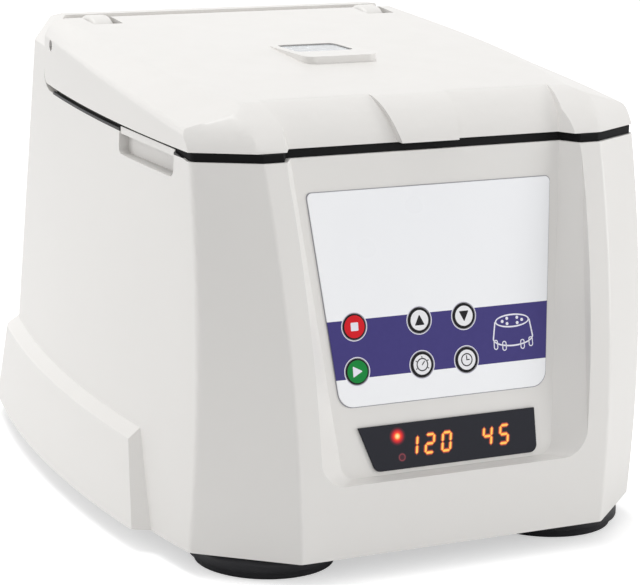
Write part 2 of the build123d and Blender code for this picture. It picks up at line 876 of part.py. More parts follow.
# Seals and chamber
def rim_gasket():
    """Black seal round the seam, open at the back between the hinges' side ends."""
    def ring_form(inset, low, high):
        outline = plan_outline(seam_height, inset)
        form = extrude(Pos(0, 0, low - seam_height) * outline, high - low)
        return form - console_recess(inset)

    high = lid_low - loose_gap
    inner = gasket_inset + gasket_width
    form = ring_form(gasket_inset, seam_height, high) - ring_form(inner, seam_height - 1.0, high + 1.0)
    return form & box_between((-beyond, -20.0, 0.0), (beyond, hinge_depth - gasket_end_gap, lid_low))


def chamber_bowl():
    r, w = chamber_radius, bowl_wall
    points = [
        (boot_hole_radius, bowl_floor), (r, bowl_floor), (r, deck_low), (r + w + bowl_flange, deck_low),
        (r + w + bowl_flange, deck_low - w), (r + w, deck_low - w), (r + w, bowl_floor - w),
        (boot_hole_radius, bowl_floor - w)]
    bowl = turned(points, [((r, bowl_floor), bowl_corner), ((r + w, bowl_floor - w), bowl_corner + w)])
    flat = box_between((-6, 0, deck_low - 3.0), (60, chamber_depth - r - w - 0.3, deck_low + 1.0))
    return bowl - flat


def shaft_boot():
    hole = boot_hole_radius
    lip = hole + boot_lip
    low, high = bowl_floor - bowl_wall, bowl_floor
    points = [
        (shaft_radius + 0.8, low - boot_lip_thickness), (lip, low - boot_lip_thickness), (lip, low), (hole, low),
        (hole, high), (lip, high), (lip - 1.5, high + boot_lip_thickness), (shaft_radius + 0.8, high + 4.5)]
    return turned(points)


# Drive line
def base_plate():
    outline = Pos(0, 0, -base_thickness) * plan_outline(base_thickness, wall + loose_gap)
    plate = extrude(outline, base_thickness)
    for x, y in base_screw_places:
        for side in (-1, 1):
            plate = plate - post(side * x, y, -1.0, base_thickness + 1.0, screw_radius + screw_hole_gap)
    return plate


def cross_recess():
    length, thickness, depth = 4.2, 0.9, screw_head
    return Box(length, thickness, depth) + Box(thickness, length, depth)


def base_screws():
    screws = []
    for x, y in base_screw_places:
        for side in (-1, 1):
            shank = post(side * x, y, -seat_gap, boss_height - 8.0, screw_radius)
            head = post(side * x, y, -screw_head, -seat_gap, 2 * screw_radius)
            screws.append(shank + head - Pos(side * x, y, -screw_head) * cross_recess())
    return screws


def foot(x, y):
    """Wide rubber foot with a stepped rim and a hollow underside that grips the bench."""
    low, step = -foot_height, -foot_height + foot_step
    tread_inner = foot_tread_radius - foot_tread_width
    points = [
        (0, 0), (foot_radius - 2.0, 0), (foot_radius, -3.0), (foot_radius, step), (foot_tread_radius, step),
        (foot_tread_radius, low), (tread_inner, low), (tread_inner - 5.0, low + 4.5), (0, low + foot_hollow)]
    return turned(points, x=x, y=y)


def damper_places():
    sides = (-damper_spacing, damper_spacing)
    return [(x, chamber_depth + y) for x in sides for y in sides]


def motor_dampers():
    low, high = base_thickness + seat_gap, mount_plate_low - seat_gap
    return Compound(children=[post(x, y, low, high, damper_radius) for x, y in damper_places()])


def mount_plate():
    face = Rectangle(mount_plate_side, mount_plate_side)
    face = chamfer(face.vertices(), mount_plate_corner)
    plate = Pos(0, chamber_depth, mount_plate_low) * extrude(face, mount_plate_thickness)
    return plate - post(0, chamber_depth, 0.0, motor_low + 5.0, bearing_radius + motor_wall)


def motor_can():
    seat = bearing_radius + press_gap
    can = ring(motor_radius, seat, motor_low, motor_high)
    inner_radius, cup = motor_radius - motor_wall, bearing_width + 1.0
    hollow = ring(inner_radius, bearing_radius + motor_wall, motor_low + motor_wall, motor_high - motor_wall)
    return can - hollow - post(0, chamber_depth, motor_low + cup, motor_high - cup, inner_radius)


def motor_stator():
    return ring(motor_radius - motor_wall - 0.1, stator_bore, motor_low + core_room, motor_high - core_room)


def motor_bearings():
    rings = []
    for low in (motor_low, motor_high - bearing_width):
        rings.append(ring(bearing_radius, shaft_radius + running_gap, low, low + bearing_width))
    return Compound(children=rings)


def motor_shaft():
    shaft = post(0, chamber_depth, shaft_low, shaft_top, shaft_radius)
    return chamfer(shaft.edges().sort_by(Axis.Z)[-1], 0.8)


def motor_armature():
    return ring(stator_bore - air_gap, shaft_radius + press_gap, motor_low + core_room, motor_high - core_room)


# Rotor head with its sleeves, each sleeve down and outwards
def tube_plane(number):
    turn = 2 * pi * number / tube_count + pi / 2
    tilt = radians(tube_angle)
    outward = (cos(turn), sin(turn))
    origin = (tube_mouth_radius * outward[0], chamber_depth + tube_mouth_radius * outward[1], tube_mouth_height)
    down = (sin(tilt) * outward[0], sin(tilt) * outward[1], -cos(tilt))
    return Plane(origin=origin, x_dir=(-outward[1], outward[0], 0), z_dir=down)


def rotor_head():
    fall = tan(radians(tube_angle))
    drop = rotor_plate / cos(radians(tube_angle))
    top = lambda r: tube_mouth_height - (r - tube_mouth_radius) * fall
    rim = rotor_rim_radius
    bore, collar = shaft_radius + press_gap, hub_radius + 1.0
    points = [
        (bore, hub_low), (hub_radius, hub_low), (hub_radius, top(hub_radius) - drop), (rim, top(rim) - drop),
        (rim, top(rim)), (collar, top(collar)), (collar, hub_top), (bore, hub_top)]
    head = turned(points)
    for number in range(tube_count):
        plane = tube_plane(number)
        hole = plane.offset(-20.0) * Cylinder(sleeve_radius + sleeve_gap, sleeve_length + 20.0, align=base_up)
        face = plane.offset(-30.0) * Cylinder(sleeve_flange_radius + 3 * sleeve_gap, 30.0, align=base_up)
        head = head - hole - face
    return head


def tube_sleeve(number):
    """Plastic sleeve with a flange at its mouth and a coned closed end."""
    r, inner, end, tip = sleeve_radius, sleeve_radius - sleeve_wall, sleeve_length, sleeve_tip_radius
    cone, inner_end, inner_tip = end - sleeve_cone, end - 1.4 * sleeve_wall, tip - 0.7 * sleeve_wall
    points = [
        (inner, -sleeve_flange), (sleeve_flange_radius, -sleeve_flange), (sleeve_flange_radius, 0.0), (r, 0.0),
        (r, cone), (tip, end), (0.0, end), (0.0, inner_end), (inner_tip, inner_end), (inner, cone - 0.5)]
    face = make_face(Polyline(*points, close=True))
    return tube_plane(number) * revolve(Plane.XZ * face, Axis.Z)


def rotor_nut():
    """Hand nut with finger flutes that holds the rotor on its shaft."""
    nut = post(0, chamber_depth, hub_top, nut_top, nut_radius)
    nut = fillet(nut.edges().sort_by(Axis.Z)[-1], 2.0)
    place = nut_radius + flute_radius - flute_depth
    for number in range(flute_count):
        turn = 2 * pi * number / flute_count
        x, y = place * cos(turn), chamber_depth + place * sin(turn)
        nut = nut - post(x, y, hub_top - 1.0, nut_top + 1.0, flute_radius)
    return nut - post(0, chamber_depth, hub_top - 1.0, shaft_top + loose_gap, shaft_radius + press_gap)


# Console pieces
def label_outline():
    face = make_face(Polyline(
        (-label_half_bottom, label_bottom), (label_half_bottom, label_bottom),
        (label_half_top, label_top), (-label_half_top, label_top), close=True))
    return rounded(face, [((-label_half_bottom, label_bottom), 8.0), ((label_half_bottom, label_bottom), 8.0),
                          ((-label_half_top, label_top), 2.5), ((label_half_top, label_top), 2.5)])


def console_label():
    label = console * extrude(label_outline(), label_thickness)
    for x, row in key_places():
        label = label - console * (Pos(x, row, -1.0) * Cylinder(key_radius + key_hole_gap, 4.0, align=base_up))
    return label


def key_cap(x, row):
    cap = Cylinder(key_radius - 0.05, label_thickness + 0.2, align=base_up)
    cap = fillet(cap.edges().sort_by(Axis.Z)[-1], 0.3)
    cap = Pos(0, 0, 0.1) * cap
    stem = Pos(0, 0, -wall - 1.5) * Cylinder(key_stem_radius, wall + 2.0, align=base_up)
    return console * (Pos(x, row, 0) * (cap + stem))


def display_window():
    face = make_face(Polyline(
        (window_left_bottom, window_bottom), (window_right, window_bottom), (window_right, window_top),
        (window_left_top, window_top), close=True))
    face = rounded(face, [((window_left_bottom, window_bottom), 4.0), ((window_right, window_bottom), 4.0)])
    return console * extrude(face, window_thickness)


def control_board():
    return console_box(-board_half, board_half, board_low, board_high, board_front - board_thickness, board_front)


def board_posts():
    posts = []
    for x in (-board_half + 5.0, board_half - 5.0):
        for up in (board_low + 26.0, board_high - 4.0):
            posts.append(console * (Pos(x, up, board_front) * Cylinder(3.0, -wall - board_front, align=base_up)))
    for x in (power_board_low[0] + 5.0, power_board_high[0] - 5.0):
        for y in (power_board_low[1] + 5.0, power_board_high[1] - 5.0):
            posts.append(post(x, y, base_thickness, base_thickness + power_board_lift, 3.0))
    return Compound(children=posts)


def digit_block(centre, digits):
    half = digits * digit_pitch / 2 + 0.7
    half_tall = digit_height / 2 + 1.8
    return console_box(centre - half, centre + half, digits_row - half_tall, digits_row + half_tall,
                       board_front, -window_thickness)


def indicator_lamps():
    lamps = []
    for up in lamp_rows:
        body = Cylinder(lamp_radius, -1.6 - board_front, align=base_up)
        body = fillet(body.edges().sort_by(Axis.Z)[-1], 0.8 * lamp_radius)
        lamps.append(console * (Pos(lamp_x, up, board_front) * body))
    return Compound(children=lamps)


def key_switches():
    """Small square push switches on the board, one behind each key."""
    top = -wall - 1.5 - key_travel - 0.1
    switches = []
    for x, row in key_places():
        body = Pos(x, row, board_front) * Box(6.0, 6.0, top - 0.8 - board_front, align=base_up)
        plunger = Pos(x, row, board_front) * Cylinder(1.7, top - board_front, align=base_up)
        switches.append(console * (body + plunger))
    return Compound(children=switches)


# Lock: a striker plate under the lid, and a pin that a solenoid pushes through it
def lid_striker():
    half = striker_thickness / 2
    plate = box_between((-half, striker_front, striker_low), (half, striker_front + striker_width, liner_low))
    foot_plate = box_between((-striker_foot_half, striker_front, liner_low - 1.6),
                             (striker_foot_half, striker_front + striker_width, liner_low))
    side = (striker_width - striker_window) / 2
    window = box_between((-half - 1, striker_front + side, striker_window_low),
                         (half + 1, striker_front + side + striker_window, striker_window_low + striker_window))
    return plate + foot_plate - window


def lock_pin():
    pin = rod_x(bolt_end, solenoid_start + bolt_stroke_room, pin_depth, pin_height, bolt_radius)
    return chamfer(pin.edges().sort_by(Axis.X)[0], 0.5)


def lock_solenoid():
    """Solenoid on a bracket that hangs from the underside of the deck."""
    half = solenoid_side / 2
    low = (solenoid_start, pin_depth - half, pin_height - half)
    high = (solenoid_start + solenoid_length, pin_depth + bolt_radius + 2.2, pin_height + half)
    bore_end = solenoid_start + bolt_stroke_room + bolt_travel
    bore = rod_x(solenoid_start - 1.0, bore_end, pin_depth, pin_height, bolt_radius + running_gap)
    bracket = box_between((low[0], low[1], high[2]), (high[0], high[1], deck_low - seat_gap))
    slot = box_between((low[0] + 4.0, low[1] - 1.0, high[2]), (high[0] - 4.0, high[1] + 1.0, deck_low - 1.5))
    return box_between(low, high) + bracket - slot - bore


# Lid pieces
def lid_liner():
    outline = Pos(0, 0, liner_low - seam_height) * plan_outline(seam_height, liner_inset)
    form = extrude(outline, liner_thickness)
    form = form & box_between((-beyond, -20.0, 0.0), (beyond, hinge_depth - 0.5, cowl_top))
    form = form - Pos(0, port_depth, lid_low) * port_slab(0.0, cut_reach)
    for x, y in liner_posts():
        form = form - post(x, y, liner_low - 1.0, liner_low + 5.0, screw_radius + screw_hole_gap)
    return form - lid_recess(lid_wall + liner_recess_gap) - hinge_notch(lid_wall + liner_notch_gap)


def liner_posts():
    return [(side * x, y) for x, y in liner_post_places for side in (-1, 1)]


def liner_screws():
    screws = []
    for x, y in liner_posts():
        head = post(x, y, liner_low - screw_head, liner_low - seat_gap, 2 * screw_radius)
        head = fillet(head.edges().sort_by(Axis.Z)[0], screw_head / 2)
        shank = post(x, y, liner_low - 1.0, liner_low + liner_hole_length - 3.0, screw_radius)
        screws.append(head + shank - Pos(x, y, liner_low - screw_head) * cross_recess())
    return Compound(children=screws)


def sight_pane():
    return Pos(0, port_depth, pane_low()) * port_slab(pane_margin, pane_thickness)


def port_tube():
    """Upright tube between the liner and the lid's top, so that the view through the lid is closed in."""
    low = liner_low + liner_thickness
    high = top_height(port_depth - port_half_length - port_tube_wall) - lid_wall - loose_gap
    tube = Pos(0, port_depth, low) * port_slab(port_tube_wall, high - low)
    return tube - Pos(0, port_depth, lid_low) * port_slab(0.0, cut_reach)


def chamber_seal():
    return ring(chamber_radius + seal_out, chamber_radius + seal_in, seam_height + loose_gap, liner_low)


def hinge_knuckle():
    """Domed fixed knuckle with an arm back to the cowl."""
    low, high = knuckle_centre - knuckle_width / 2, knuckle_centre + knuckle_width / 2
    barrel = rod_x(low, high, hinge_depth, hinge_height, knuckle_radius)
    barrel = fillet(barrel.edges().filter_by(GeomType.CIRCLE), knuckle_dome)
    arm_low, arm_high = hinge_height - arm_below, hinge_height + arm_above
    arm = box_between((low + 1.0, hinge_depth, arm_low), (high - 1.0, cowl_front, arm_high))
    arm_lower = box_between((low, hinge_depth, arm_low), (high, cowl_front, hinge_height))
    arm = arm & (arm_lower + rod_x(low, high, hinge_depth, hinge_height, hinge_round + cowl_gap))
    return barrel + arm - rod_x(low - 1.0, high + 1.0, hinge_depth, hinge_height, pin_radius + running_gap)


def lug_spans():
    half = knuckle_width / 2 + knuckle_clearance + lid_wall + 0.2
    inner, outer = knuckle_centre - half, knuckle_centre + half
    return [(inner - lug_width, inner), (outer, outer + lug_width)]


def hinge_lugs():
    lugs = []
    for low, high in lug_spans():
        barrel = rod_x(low, high, hinge_depth, hinge_height, hinge_round - lid_wall - loose_gap)
        front = hinge_depth - lug_reach
        top = top_height(front) - lid_wall - lug_top_gap
        block = box_between((low, front, hinge_height - arm_below), (high, hinge_depth, top))
        lugs.append(barrel + block - rod_x(low - 1, high + 1, hinge_depth, hinge_height, pin_radius + press_gap))
    return lugs


def hinge_pin():
    spans = lug_spans()
    return rod_x(spans[0][0] + 0.5, spans[1][1] - 0.5, hinge_depth, hinge_height, pin_radius)


# Rear fittings
def inlet_socket():
    """Three-pin appliance inlet with its flange on the back wall."""
    flange = slab(inlet_flange_width, inlet_flange_tall, inlet_flange_thickness, 3.0)
    body = Pos(0, 0, -inlet_depth) * slab(inlet_width, inlet_tall, inlet_depth + inlet_flange_thickness)
    well = Pos(0, 0, -inlet_well_depth) * slab(inlet_well_width, inlet_well_tall, inlet_depth, 2.5)
    form = flange + body - well
    for x, up in inlet_pin_places:
        form = form + Pos(x, up, -inlet_well_depth) * Box(2.0, 4.0, inlet_pin_length, align=base_up)
    for x in (-inlet_screw_x, inlet_screw_x):
        form = form - Pos(x, 0, -1.0) * Cylinder(inlet_screw_radius + screw_hole_gap, 5.0, align=base_up)
    return on_rear(inlet_height, inlet_x) * form


def inlet_screws():
    screws = []
    for x in (-inlet_screw_x, inlet_screw_x):
        head = Pos(x, 0, inlet_flange_thickness) * Cylinder(3.0, 1.4, align=base_up)
        head = fillet(head.edges().sort_by(Axis.Z)[-1], 0.8)
        shank = Pos(x, 0, 0.0) * Cylinder(inlet_screw_radius, inlet_flange_thickness + 0.1, align=base_up)
        screws.append(on_rear(inlet_height, inlet_x) * (head + shank))
    return screws


def switch_frame():
    flange = slab(switch_width + 3.0, switch_tall + 3.0, 1.6, 1.0)
    body = Pos(0, 0, -switch_depth) * slab(switch_width, switch_tall, switch_depth)
    well_width, well_tall = switch_width - 2 * switch_wall, switch_tall - 2 * switch_wall
    well = Pos(0, 0, switch_floor - switch_depth) * slab(well_width, well_tall, switch_depth)
    return on_rear(switch_height, switch_x) * (flange + body - well)


def power_rocker():
    """Rocker, drawn tipped to its off side."""
    width = switch_width - 2 * switch_wall - 2 * loose_gap
    half = switch_tall / 2 - switch_wall - 1.1
    low_half, low = half - 1.2, -2.0
    face = make_face(Polyline(
        (-half, rocker_rise), (0, rocker_dip), (half, rocker_rise), (low_half, low), (0.0, -rocker_keel),
        (-low_half, low), close=True))
    body = extrude(Plane(origin=(-width / 2, 0, 0), x_dir=(0, 1, 0), z_dir=(1, 0, 0)) * face, width)
    return on_rear(switch_height, switch_x) * (Rot(-switch_swing / 2, 0, 0) * body)


def fuse_holder():
    cap = Cylinder(fuse_radius + fuse_cap_rim, fuse_cap_tall, align=base_up)
    slot = Pos(0, 0, fuse_cap_tall - 1.0) * Box(1.5 * fuse_radius, 1.4, 3.0)
    cap = fillet(cap.edges().sort_by(Axis.Z)[-1], 1.0) - slot
    body = Pos(0, 0, -fuse_depth) * Cylinder(fuse_radius, fuse_depth, align=base_up)
    return on_rear(fuse_height, fuse_x) * (cap + body)


def fan_frame():
    plate = slab(fan_side, fan_side, fan_thickness, fan_corner)
    duct = Pos(0, 0, -1.0) * Cylinder(fan_blade_radius + fan_tip_gap, fan_thickness + 2.0, align=base_up)
    spider = Cylinder(fan_hub_radius, fan_spider, align=base_up)
    arm = Pos((fan_hub_radius + fan_blade_radius) / 2, 0, 0) * Box(21.0, 3.0, fan_spider, align=base_up)
    for number in range(4):
        spider = spider + Rot(0, 0, 45 + 90 * number) * arm
    return on_rear(fan_height, 0.0, -wall - fan_thickness) * (plate - duct + spider)


def fan_impeller():
    tall = fan_thickness - 5.0
    low = fan_spider + 2 * loose_gap
    fan = Pos(0, 0, low) * Cylinder(fan_hub_radius, tall, align=base_up)
    length = fan_blade_radius - fan_hub_radius + 2.0
    blade = Rot(fan_blade_turn, 0, 0) * Box(length, fan_blade_thickness, tall + 0.5)
    blade = Pos(fan_blade_radius - 0.5 - length / 2, 0, low + tall / 2) * blade
    for number in range(fan_blades):
        fan = fan + Rot(0, 0, number * 360.0 / fan_blades) * blade
    return on_rear(fan_height, 0.0, -wall - fan_thickness) * fan


def power_board():
    low = base_thickness + power_board_lift
    return box_between((*power_board_low, low), (*power_board_high, low + board_thickness))


def board_parts():
    """Capacitors and a finned heat sink on the power board."""
    top = base_thickness + power_board_lift + board_thickness
    x, y = power_board_low
    parts = [post(x + across, y + back, top, top + capacitor_tall, capacitor_radius) for across, back in capacitor_places]
    left, front = x + heat_sink_low[0], y + heat_sink_low[1]
    right, rear = x + heat_sink_high[0], y + heat_sink_high[1]
    sink = box_between((left, front, top), (right, rear, top + heat_sink_floor))
    for number in range(fin_count):
        fin = left + number * fin_pitch
        sink = sink + box_between((fin, front, top + 1.0), (fin + fin_thickness, rear, top + fin_tall))
    parts.append(sink)
    return Compound(children=parts)


def transformer():
    core = box_between((*transformer_low, base_thickness + seat_gap),
                       (*transformer_high, base_thickness + transformer_tall))
    return fillet(core.edges().filter_by(Axis.Z), 3.0)


def write(name, shape):
    placed = Pos(0, -body_depth / 2, foot_height) * shape
    export_step(placed, f"parts/{name}.step")


os.makedirs("parts", exist_ok=True)

write("housing_shell", housing_shell())
write("base_plate", base_plate())
write("case_screws", Compound(children=base_screws() + inlet_screws()))
for side, name in ((-1, "left"), (1, "right")):
    write(f"foot_front_{name}", foot(side * foot_front_x, foot_front_y))
    write(f"foot_rear_{name}", foot(side * foot_rear_x, foot_rear_y))
write("rim_gasket", rim_gasket())
write("chamber_bowl", chamber_bowl())
write("shaft_boot", shaft_boot())

write("motor_dampers", motor_dampers())
write("mount_plate", mount_plate())
write("motor_can", motor_can())
write("motor_stator", motor_stator())
write("motor_bearings", motor_bearings())
write("motor_shaft", motor_shaft())
write("motor_armature", motor_armature())
write("rotor_head", rotor_head())
for number in range(tube_count):
    write(f"tube_sleeve_{number + 1}", tube_sleeve(number))
write("rotor_nut", rotor_nut())

write("console_label", console_label())
write("display_window", display_window())
for (upper, lower), x in key_columns.items():
    write(f"key_{upper}", key_cap(x, key_row))
    write(f"key_{lower}", key_cap(x, -key_row))
write("key_switches", key_switches())
write("control_board", control_board())
write("board_posts", board_posts())
write("speed_digits", digit_block(speed_digits_centre, 3))
write("timer_digits", digit_block(timer_digits_centre, 2))
write("indicator_lamps", indicator_lamps())

write("lid_shell", lid_shell())
write("lid_liner", lid_liner())
write("liner_screws", liner_screws())
write("sight_pane", sight_pane())
write("port_tube", port_tube())
write("chamber_seal", chamber_seal())
write("lid_striker", lid_striker())
write("lock_pin", lock_pin())
write("lock_solenoid", lock_solenoid())
write("hinge_knuckles", pair([hinge_knuckle()]))
write("hinge_lugs", pair(hinge_lugs()))
write("hinge_pins", pair([hinge_pin()]))

write("inlet_socket", inlet_socket())
write("switch_frame", switch_frame())
write("power_rocker", power_rocker())
write("fuse_holder", fuse_holder())
write("fan_frame", fan_frame())
write("fan_impeller", fan_impeller())
write("power_board", power_board())
write("board_parts", board_parts())
write("transformer", transformer())
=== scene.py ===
import json
from math import atan2, cos, pi, radians, sin, tan

import bpy
from mathutils import Matrix, Vector

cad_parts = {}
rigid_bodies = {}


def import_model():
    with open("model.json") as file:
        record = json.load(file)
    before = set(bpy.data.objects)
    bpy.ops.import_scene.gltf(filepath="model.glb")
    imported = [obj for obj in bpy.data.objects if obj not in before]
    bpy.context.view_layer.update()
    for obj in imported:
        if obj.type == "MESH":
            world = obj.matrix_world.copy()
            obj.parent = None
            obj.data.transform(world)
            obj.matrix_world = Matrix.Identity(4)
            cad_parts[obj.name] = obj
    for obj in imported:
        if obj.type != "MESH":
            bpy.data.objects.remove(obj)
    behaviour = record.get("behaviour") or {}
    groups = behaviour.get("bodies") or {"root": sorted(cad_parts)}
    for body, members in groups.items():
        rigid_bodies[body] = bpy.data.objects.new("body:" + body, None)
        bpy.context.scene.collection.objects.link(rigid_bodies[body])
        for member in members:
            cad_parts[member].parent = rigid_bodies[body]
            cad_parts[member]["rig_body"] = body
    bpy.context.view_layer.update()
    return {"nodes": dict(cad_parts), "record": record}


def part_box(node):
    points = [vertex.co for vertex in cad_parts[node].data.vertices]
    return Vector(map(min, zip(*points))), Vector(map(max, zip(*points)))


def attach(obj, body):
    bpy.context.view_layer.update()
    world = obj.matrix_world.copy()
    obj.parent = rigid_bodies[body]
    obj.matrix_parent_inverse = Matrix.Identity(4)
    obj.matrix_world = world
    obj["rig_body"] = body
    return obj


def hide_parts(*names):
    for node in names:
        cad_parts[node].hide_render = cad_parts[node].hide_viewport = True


# Looks of a small bench centrifuge, laid round its CAD frame: finishes, prints, lit digits, trim and studio
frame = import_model()
nodes = frame["nodes"]
slotOf = {row["node"]: row["material_slot"] for row in frame["record"]["subparts"]}
mm = 0.001


# Mesh helpers
def pickNone():
    bpy.ops.object.select_all(action="DESELECT")


def pickOnly(thing):
    pickNone()
    thing.select_set(True)
    bpy.context.view_layer.objects.active = thing


def named(name):
    # names what was just added and leaves it picked
    thing = bpy.context.object
    thing.name = name
    thing.data.name = name
    pickOnly(thing)
    return thing


def editAll(thing):
    pickOnly(thing)
    bpy.ops.object.mode_set(mode="EDIT")
    bpy.ops.mesh.select_mode(type="FACE")
    bpy.ops.mesh.select_all(action="SELECT")


def objectMode():
    bpy.ops.object.mode_set(mode="OBJECT")


def applyModifier(thing, kind, **settings):
    pickOnly(thing)
    modifier = thing.modifiers.new(kind.title(), kind)
    for key, value in settings.items():
        setattr(modifier, key, value)
    bpy.ops.object.modifier_apply(modifier=modifier.name)


def smoothByAngle(thing, angle, weight):
    pickOnly(thing)
    bpy.ops.object.shade_smooth_by_angle(angle=radians(angle))
    applyModifier(thing, "WEIGHTED_NORMAL", mode="FACE_AREA", keep_sharp=True, weight=weight)


def joined(name, things):
    pickNone()
    for thing in things:
        thing.select_set(True)
    bpy.context.view_layer.objects.active = things[0]
    if len(things) > 1:
        bpy.ops.object.join()
    return named(name)


def thickened(thing, thickness):
    # turns flat faces into a closed plate that stands up from them
    editAll(thing)
    bpy.ops.mesh.extrude_region_move(TRANSFORM_OT_translate={"value": (0, 0, thickness * mm)})
    bpy.ops.mesh.select_all(action="SELECT")
    bpy.ops.mesh.normals_make_consistent(inside=False)
    objectMode()
    return thing


def outlineFace(name, points):
    # flat face with the given outline, in millimetres
    pickNone()
    bpy.ops.mesh.primitive_circle_add(vertices=len(points), radius=mm, fill_type="NGON")
    face = named(name)
    for vertex, (x, y) in zip(face.data.vertices, points):
        vertex.co = (x * mm, y * mm, 0)
    return face


def outlinePlate(name, points, thickness):
    return thickened(outlineFace(name, points), thickness)


def ringPlate(name, outer, width, thickness, sides=56, flat=1.0, stretch=0.0):
    # flat ring, squeezed to an ellipse by flat or drawn out to a long hole by stretch
    pickNone()
    bpy.ops.mesh.primitive_circle_add(vertices=sides, radius=outer * mm)
    ring = named(name)
    editAll(ring)
    bpy.ops.mesh.select_mode(type="EDGE")
    bpy.ops.mesh.select_all(action="SELECT")
    bpy.ops.mesh.extrude_edges_move()
    share = (outer - width) / outer
    bpy.ops.transform.resize(value=(share, share, 1), center_override=(0, 0, 0))
    objectMode()
    for vertex in ring.data.vertices:
        reach = vertex.co.length / mm
        squeeze = (reach - outer * (1 - flat)) / reach
        vertex.co.y *= squeeze
        vertex.co.y += stretch * mm * (vertex.co.y > 0)
    return thickened(ring, thickness)


def discPlate(name, radius, thickness, sides):
    turns = [2 * pi * number / sides for number in range(sides)]
    return outlinePlate(name, [(radius * cos(turn), radius * sin(turn)) for turn in turns], thickness)


def barPlate(name, left, low, right, high, thickness):
    return outlinePlate(name, [(left, low), (right, low), (right, high), (left, high)], thickness)


def layOn(thing, base, across=0.0, up=0.0, out=0.0, spin=0.0):
    # puts a piece on a plane of the object, and its place into its mesh
    offset = Matrix.Translation(Vector((across, up, out)) * mm)
    thing.matrix_world = base @ offset @ Matrix.Rotation(radians(spin), 4, "Z")
    pickOnly(thing)
    bpy.ops.object.transform_apply(location=True, rotation=True, scale=True)
    return thing


def planeAt(place, across, up):
    across, up = Vector(across).normalized(), Vector(up).normalized()
    turn = Matrix((across, up, across.cross(up))).transposed().to_4x4()
    return Matrix.Translation(Vector(place) * mm) @ turn


def rides(thing, body, material):
    thing.data.materials.clear()
    thing.data.materials.append(material)
    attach(thing, body)


def paintFaces(thing, material, test):
    # gives the faces that pass the test a second material
    thing.data.materials.append(material)
    last = len(thing.data.materials) - 1
    for face in thing.data.polygons:
        if test(face):
            face.material_index = last


# Places on the object, in millimetres of the shared frame: key panel, back wall and rotor
panel = {"middle": (0, -156.8, 107.0), "lean": radians(11.75)}
panelPlane = planeAt(panel["middle"], (1, 0, 0), (0, sin(panel["lean"]), cos(panel["lean"])))
rear = {"foot": (0, 170.6, 11.0), "lean": atan2(30.0, 186.2)}
rotorAxis = (0, -30.4)


def rearPlane(across, height):
    # plane on the leaning back wall, at a height over the wall's foot
    low = rear["foot"]
    place = (across, low[1] - height * tan(rear["lean"]), low[2] + height)
    return planeAt(place, (-1, 0, 0), (0, -sin(rear["lean"]), cos(rear["lean"])))


# Colour and shader helpers
def ink(red, green, blue):
    # display colour, 0 to 255, as the shader's linear one
    shares = [part / 255 for part in (red, green, blue)]
    linear = [share / 12.92 if share < 0.04 else ((share + 0.055) / 1.055) ** 2.4 for share in shares]
    return (*linear, 1.0)


def newGroup(name, inputs, outputs):
    group = bpy.data.node_groups.new(name, "ShaderNodeTree")
    for label, kind, value in inputs:
        socket = group.interface.new_socket(label, in_out="INPUT", socket_type=kind)
        if value is not None:
            socket.default_value = value
    for label, kind in outputs:
        group.interface.new_socket(label, in_out="OUTPUT", socket_type=kind)
    return group, group.nodes.new("NodeGroupInput"), group.nodes.new("NodeGroupOutput")


def mathNode(tree, operation, first, second=None, clamp=False):
    node = tree.nodes.new("ShaderNodeMath")
    node.operation = operation
    node.use_clamp = clamp
    for socket, value in zip(node.inputs, (first, second)):
        if value is None:
            continue
        if isinstance(value, (int, float)):
            socket.default_value = value
        else:
            tree.links.new(value, socket)
    return node.outputs[0]


def noiseNode(tree, vector, scale, detail=3.0, rough=0.55):
    node = tree.nodes.new("ShaderNodeTexNoise")
    node.inputs["Detail"].default_value = detail
    node.inputs["Roughness"].default_value = rough
    tree.links.new(vector, node.inputs["Vector"])
    if isinstance(scale, (int, float)):
        node.inputs["Scale"].default_value = scale
    else:
        tree.links.new(scale, node.inputs["Scale"])
    return node.outputs["Fac"]


def rangeNode(tree, value, fromLow, fromHigh, toLow=0.0, toHigh=1.0):
    node = tree.nodes.new("ShaderNodeMapRange")
    ends = {"From Min": fromLow, "From Max": fromHigh, "To Min": toLow, "To Max": toHigh}
    for label, number in ends.items():
        node.inputs[label].default_value = number
    tree.links.new(value, node.inputs["Value"])
    return node.outputs["Result"]


def mixNode(tree, mask, first, second):
    node = tree.nodes.new("ShaderNodeMix")
    node.data_type = "RGBA"
    tree.links.new(mask, node.inputs["Factor"])
    for socket, value in zip(node.inputs[6:8], (first, second)):  # the colour sockets
        if isinstance(value, tuple):
            socket.default_value = value
        else:
            tree.links.new(value, socket)
    return node.outputs[2]


def movedVector(tree, centre=(0, 0, 0)):
    coords = tree.nodes.new("ShaderNodeTexCoord")
    mapping = tree.nodes.new("ShaderNodeMapping")
    mapping.inputs["Location"].default_value = [-part * mm for part in centre]
    tree.links.new(coords.outputs["Object"], mapping.inputs["Vector"])
    return mapping.outputs["Vector"]


# Shared surface effects. Patterns put out Height for the bump and Tone for colour and gloss, the rest a Mask
effects = {
    "grainBroad": 14.0, "turnedBroad": 30.0, "brushBroad": 60.0, "brushStretch": (0.03, 1.0, 1.0),
    "wearEdge": (0.52, 0.62), "wearScale": 180.0, "wearSpots": (0.4, 0.65),
    "dustFlat": (0.5, 1.0), "dustScale": 60.0, "dustSpots": (0.35, 0.75),
}
patternIns = [("Vector", "NodeSocketVector", None), ("Scale", "NodeSocketFloat", 1.0)]
patternOuts = [("Height", "NodeSocketFloat"), ("Tone", "NodeSocketFloat")]
maskIns = [("Vector", "NodeSocketVector", None), ("Amount", "NodeSocketFloat", 0.3)]
maskOuts = [("Mask", "NodeSocketFloat")]


